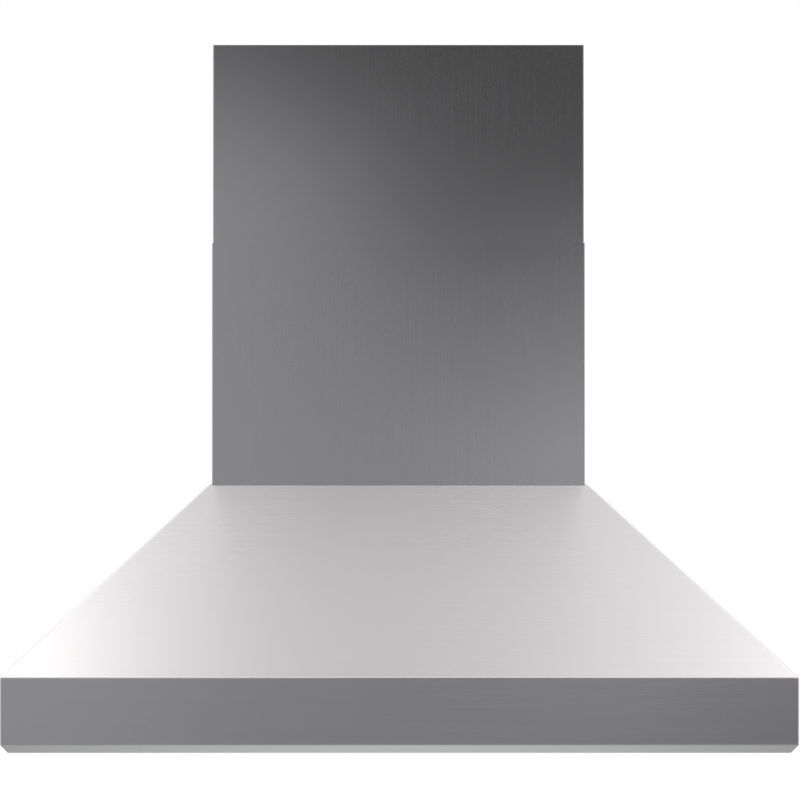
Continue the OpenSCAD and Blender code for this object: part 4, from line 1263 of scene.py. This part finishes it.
@dataclass
class Controls:
    """Plate, switch block and five buttons.

    Attributes:
        count: Number of buttons.
        pitch: Distance from one button to the next.
        y: Place from the wall.
        low: Lowest point of a button.
    """

    count: int = 5
    pitch: float = 30.0
    y: float = Lamps.y
    low: float = 24.5

    def across(self, button: int) -> float:
        """Place of a button across the hood."""
        return (button - (self.count - 1) / 2) * self.pitch

    def build(self) -> None:
        """Makes the buttons and their marks, and dresses plate and block."""
        z = self.low
        line = [(0.0, z + 0.7), (4.0, z + 0.55), (5.8, z + 0.12), (6.4, z), (7.1, z + 0.12),
                (7.7, z + 0.6), (8.0, z + 1.3), (8.0, z + 5.8), (9.5, z + 5.8), (9.5, z + 6.8),
                (4.0, z + 6.8), (4.0, z + 15.8), (0.0, z + 15.8)]
        for i in range(self.count):
            Form().take(turned(line, 56), at(self.across(i), self.y, 0.0)).piece(
                f"button_cap_{i + 1}", f"push_{i + 1}", "polished_steel",
                stands_for=(f"button_{i + 1}",))
        dress("control_plate", 0.45)
        dress("switch_block", 0.8)
        self.marks()

    def marks(self) -> None:
        """Makes the buttons' marks: a ring for off, one to three dots, a rayed dot for light."""
        dot = [(0.0, 0.05), (0.75, 0.05), (0.9, -0.1)]
        ring = [(1.3, -0.1), (1.45, 0.05), (2.0, 0.05), (2.15, -0.1)]
        off, light, rays = 0, self.count - 1, 6

        def by(button: int, aside: float = 0.0) -> Matrix:
            """Place of a mark by a button, facing down."""
            return at(self.across(button) + aside, self.y - 15.0, self.low + 4.0, DOWN)

        form = Form()
        for speed in range(1, light):
            for k in range(speed):
                form.take(turned(dot, 16), by(speed, (k - (speed - 1) / 2) * 3.0))
        form.take(turned(ring, 28), by(off))
        form.take(turned(dot, 16), by(light))
        for k in range(rays):
            form.take(block((1.5, -0.2, -0.1), (2.5, 0.2, 0.05), 0.05),
                      by(light) @ spun(math.tau * k / rays))
        form.piece("control_marks", "hood", "black_plastic")


class Fasteners:
    """Every screw, by the CAD node that holds it."""

    def places(self) -> dict[str, list[tuple[Matrix, float]]]:
        """Lists the screws.

        Returns:
            Place and reach of each screw, by node.
        """
        foot = ((114.25, -296.7), (220.2, -213.5), (220.2, -76.25))
        corners = [(s, t) for s in BOTH for t in BOTH]
        ring = 110.0 * math.sqrt(0.5)
        arms = [math.radians(a) for a in (90, 210, 330)]
        duct, (y, z) = Outlet.y, Blower.centre
        return {
            "chimney_screws": [(at(s * x, back, 300.8), 8.0) for x, back in foot for s in BOTH],
            "collar_screws": [(at(s * ring, duct + t * ring, 300.0), 6.0) for s, t in corners],
            "blower_screws": [
                *((at(s * 86.5, duct + t * 61.5, 296.8, DOWN), 2.2) for s, t in corners),
                *((at(88.5, y + 74 * math.cos(a), z + 74 * math.sin(a), TO_RIGHT), 11.5)
                  for a in arms)],
            "control_screws": [(at(s * 84.0, Controls.y, 28.5, DOWN), 6.0) for s in BOTH],
            "bracket_screws": [(at(s * 227.4, -32.0, 821.0, (s, 0, 0)), 8.0) for s in BOTH]}

    def build(self) -> None:
        """Makes every screw."""
        for node, screws in self.places().items():
            form = Form()
            for place, reach in screws:
                form.take(pan_head(reach), place)
            form.piece(f"{node}_turned", BODY_OF[node], SLOT_OF[node], stands_for=(node,))


# Studio


Strength = Callable[[Graph, Sequence[NodeSocket]], NodeSocket]
# Light of a card: its level, then soft spots by place across, place up, reach and weight.
FRONT_FIELD: tuple[float, tuple[Spot, ...]] = (0.29, (
    (0.25, 1.1, 0.9, -0.355), (0.55, 0.3, 0.6, 0.175), (-0.45, 0.45, 0.8, 0.14),
    (0.6, -0.1, 0.5, -0.13), (-0.5, 1.2, 0.6, -0.15), (-0.65, -0.1, 0.5, 0.105),
    (-0.25, 0.82, 0.36, 0.185), (-0.05, 1.05, 0.36, -0.105), (0.35, 0.24, 0.26, 0.235),
    (0.0, 0.47, 0.4, -0.085)))
CEILING_FIELD: tuple[float, tuple[Spot, ...]] = (0.9, (
    (-1.3, -0.4, 1.3, 1.5), (1.3, -0.4, 1.3, 0.96), (-0.95, -0.3, 0.5, 1.0),
    (0.4, -0.35, 0.55, 0.12), (0.0, -0.9, 0.6, -0.24), (1.1, -0.3, 0.5, 1.0)))


def card(width: float, height: float) -> BMesh:
    """Makes a flat card about the origin.

    Args:
        width: Its width in metres.
        height: Its height in metres.

    Returns:
        The card.
    """
    bm = bmesh.new()
    bmesh.ops.create_grid(bm, x_segments=1, y_segments=1, size=0.5)
    bmesh.ops.scale(bm, vec=(width, height, 1.0), verts=bm.verts)
    return bm


@dataclass
class Studio:
    """Camera, pale floor, soft lamps and the grey walls that the steel reflects.

    Attributes:
        eye: Place of the camera in metres.
        lens: Focal length in millimetres, on a 36 mm sensor.
        shift: Sideways and upward shift of the lens.
        middle: The hood's middle, in metres.
        floor: Height of the floor in metres.
        pool: Light of the floor in reflections, under the hood and away from it.
        least: Least light of a card.
    """

    eye: Point = (-0.0177, -4.076, 0.4085)
    lens: float = 138.35
    shift: Pair = (0.02, -0.0041)
    middle: Point = (0.0, -0.25, 0.4)
    floor: float = -0.9
    pool: Pair = (1.01, 0.27)
    least: float = 0.02

    def camera(self) -> None:
        """Sets the camera square on to the hood, as in the photograph."""
        data = bpy.data.cameras.new("camera")
        data.sensor_width, data.lens = 36.0, self.lens
        data.shift_x, data.shift_y = self.shift
        data.clip_end = 100.0
        camera = linked("camera", data)
        camera.location = self.eye
        camera.rotation_euler = (math.pi / 2, 0.0, 0.0)
        bpy.context.scene.camera = camera

    def world(self) -> None:
        """White for the camera and for gloss, and a plain level for matt surfaces."""
        graph = Graph("studio", world=True)
        path = graph.add("ShaderNodeLightPath").outputs
        gloss = graph.math("MAXIMUM", path["Is Camera Ray"], path["Is Glossy Ray"])
        seen = graph.math("MAXIMUM", gloss, path["Is Transmission Ray"])
        plain = graph.add("ShaderNodeBackground", {0: (0.98, 0.99, 1.0, 1.0), 1: 0.5})
        white = graph.add("ShaderNodeBackground", {0: (*WHITE, 1.0)})
        bpy.context.scene.world = graph.finish(graph.choose(seen, plain, white),
                                               "ShaderNodeOutputWorld")

    def stage_piece(self, bm: BMesh, name: str, material: Material, gloss_only: bool) -> None:
        """Ends a mesh as part of the studio.

        Args:
            bm: The mesh, in metres, which is used up.
            name: Name of the piece.
            material: Its material.
            gloss_only: Whether only reflections see it.
        """
        mesh = bpy.data.meshes.new(name)
        bm.to_mesh(mesh)
        bm.free()
        mesh.materials.append(material)
        obj = linked(name, mesh)
        if gloss_only:
            obj.visible_camera = obj.visible_diffuse = obj.visible_shadow = False
            obj.visible_transmission = obj.visible_volume_scatter = False

    def ground(self) -> None:
        """Pale floor that fades into the white background and can't be seen from below."""
        graph = Graph("pale_floor")
        centre = graph.add("ShaderNodeMapping",
                           {"Vector": graph.place, "Location": (0.0, -self.middle[1], 0.0)})
        axes = graph.add("ShaderNodeSeparateXYZ", {0: centre.outputs[0]}).outputs
        far = graph.math("SQRT", graph.math("ADD", graph.math("POWER", axes[0], 2.0),
                                            graph.math("POWER", axes[1], 2.0)))
        fade = graph.span(far, (1.4, 4.4), (0.0, 1.0))
        back = graph.add("ShaderNodeNewGeometry").outputs["Backfacing"]
        path = graph.add("ShaderNodeLightPath").outputs
        speckle = graph.mix(graph.noise(40.0, detail=3.0), shade(WHITE, 0.84), shade(WHITE, 0.88))
        matt = graph.add("ShaderNodeBsdfDiffuse", {0: speckle})
        clear = graph.add("ShaderNodeBsdfTransparent")
        pool = graph.add("ShaderNodeEmission",
                         {0: (*WHITE, 1.0), 1: graph.span(far, (0.1, 1.1), self.pool)})
        seen = graph.choose(path["Is Glossy Ray"], matt, pool)
        hidden = graph.math("MAXIMUM", graph.math("MULTIPLY", fade, path["Is Camera Ray"]), back)
        bm = bmesh.new()
        bmesh.ops.create_circle(bm, cap_ends=True, radius=5.0, segments=96)
        bmesh.ops.translate(bm, vec=(0.0, self.middle[1], self.floor), verts=bm.verts)
        self.stage_piece(bm, "floor", graph.finish(graph.choose(hidden, seen, clear)), False)

    def glow(self, name: str, strength: Strength, tint: Colour) -> Material:
        """Grey emission whose strength changes over a wall.

        Args:
            name: Name of the material.
            strength: Gives the strength from the tree and the place along each axis.
            tint: Colour of the light.

        Returns:
            The material.
        """
        graph = Graph(name)
        axes = graph.add("ShaderNodeSeparateXYZ", {0: graph.place}).outputs
        return graph.finish(graph.add("ShaderNodeEmission",
                                      {0: (*tint, 1.0), 1: strength(graph, axes)}))

    def field(self, graph: Graph, across: NodeSocket, up: NodeSocket, level: float,
              spots: Sequence[Spot]) -> NodeSocket:
        """Strength over a card: a level with soft spots on it.

        Args:
            graph: The tree.
            across: Place across the card in metres.
            up: Place up the card in metres.
            level: Strength away from the spots.
            spots: Centre across and up, reach and weight of each spot.

        Returns:
            The strength, never below a dark grey.
        """
        total: NodeSocket | float = level
        for x, y, reach, weight in spots:
            gap = graph.add("ShaderNodeCombineXYZ", {
                0: graph.math("SUBTRACT", across, x), 1: graph.math("SUBTRACT", up, y)})
            far = graph.add("ShaderNodeVectorMath", {0: gap.outputs[0]}, operation="LENGTH")
            spot = graph.add("ShaderNodeMapRange", {
                "Value": far.outputs["Value"], "From Min": 0.0, "From Max": reach,
                "To Min": weight, "To Max": 0.0}, interpolation_type="SMOOTHERSTEP")
            total = graph.math("ADD", spot.outputs[0], total)
        return graph.math("MAXIMUM", total, self.least)

    def walls(self) -> None:
        """Grey surroundings for the steel: a round wall, a panel in front and a ceiling."""
        def around(graph: Graph, axes: Sequence[NodeSocket]) -> NodeSocket:
            """Slow change round the wall, lighter towards the left and the top."""
            return graph.math("ADD", graph.span(axes[2], (-0.9, 9.0), (0.3, 0.75)),
                              graph.span(axes[0], (-6.5, 6.5), (0.12, -0.04)))

        def front(graph: Graph, axes: Sequence[NodeSocket]) -> NodeSocket:
            """Dark towards the upper right, with paler spots below it on both sides."""
            return self.field(graph, axes[0], axes[2], *FRONT_FIELD)

        def over(graph: Graph, axes: Sequence[NodeSocket]) -> NodeSocket:
            """Bright ceiling, brighter towards both sides and towards the front."""
            return graph.math("ADD", self.field(graph, axes[0], axes[1], *CEILING_FIELD),
                              graph.span(axes[1], (-0.85, -1.3), (0.0, 0.2)))

        tube = bmesh.new()
        bmesh.ops.create_cone(tube, cap_ends=False, segments=96, radius1=6.5, radius2=6.5,
                              depth=12.0)
        upright = Matrix.Rotation(math.pi / 2, 4, "X")
        for name, bm, place, strength, tint in (
                ("round_wall", tube, at(0.0, 0.0, 5.1), around, WHITE),
                ("front_panel", card(2.0, 2.0), at(0.0, -1.8, 0.45) @ upright, front,
                 (0.985, 0.98, 1.02)),
                ("ceiling", card(5.0, 4.0), at(0.0, 0.0, 2.6), over, (1.02, 0.985, 0.99))):
            bmesh.ops.transform(bm, matrix=place, verts=bm.verts)
            self.stage_piece(bm, name, self.glow(name, strength, tint), True)

    def lamp(self, name: str, place: Point, size: float, power: float) -> None:
        """Adds a square soft lamp that lights matt surfaces and points at the hood.

        Args:
            name: Name of the lamp.
            place: Where it hangs, in metres.
            size: Its side in metres.
            power: Its power in watts.
        """
        data = bpy.data.lights.new(name, "AREA")
        data.shape, data.size, data.energy = "SQUARE", size, power
        lamp = linked(name, data)
        lamp.location = place
        aim = Vector(self.middle) - Vector(place)
        lamp.rotation_euler = aim.to_track_quat("-Z", "Y").to_euler()
        lamp.visible_glossy = False

    def build(self) -> None:
        """Sets up everything round the hood."""
        bpy.context.scene.view_settings.view_transform = "Standard"
        self.camera()
        self.world()
        self.ground()
        self.walls()
        self.lamp("key", (-2.4, -3.4, 2.6), size=2.6, power=70.0)
        self.lamp("fill", (2.8, -2.6, 1.6), size=2.4, power=30.0)
        self.lamp("rear", (0.6, 3.2, 2.4), size=2.6, power=45.0)
        self.lamp("top", (0.0, -0.3, 3.2), size=3.0, power=50.0)
        LOG.info("studio ready")


def main() -> None:
    """Builds the hood in order."""
    logging.basicConfig(level=logging.INFO, format="%(name)s: %(message)s")
    Studio().build()
    Canopy().build()
    Chimney(
        lower=Cover(228.5, 305.0, 0.0, 300.0, 597.0, foot=15.8),
        upper=Cover(227.4, 303.9, 1.1, 540.0, 840.0)).build()
    Underside().build()
    Filters().build()
    Blower().build()
    Outlet().build()
    Electrics().build()
    Lamps().build()
    Controls().build()
    Fasteners().build()


if __name__ == "__main__":
    main()
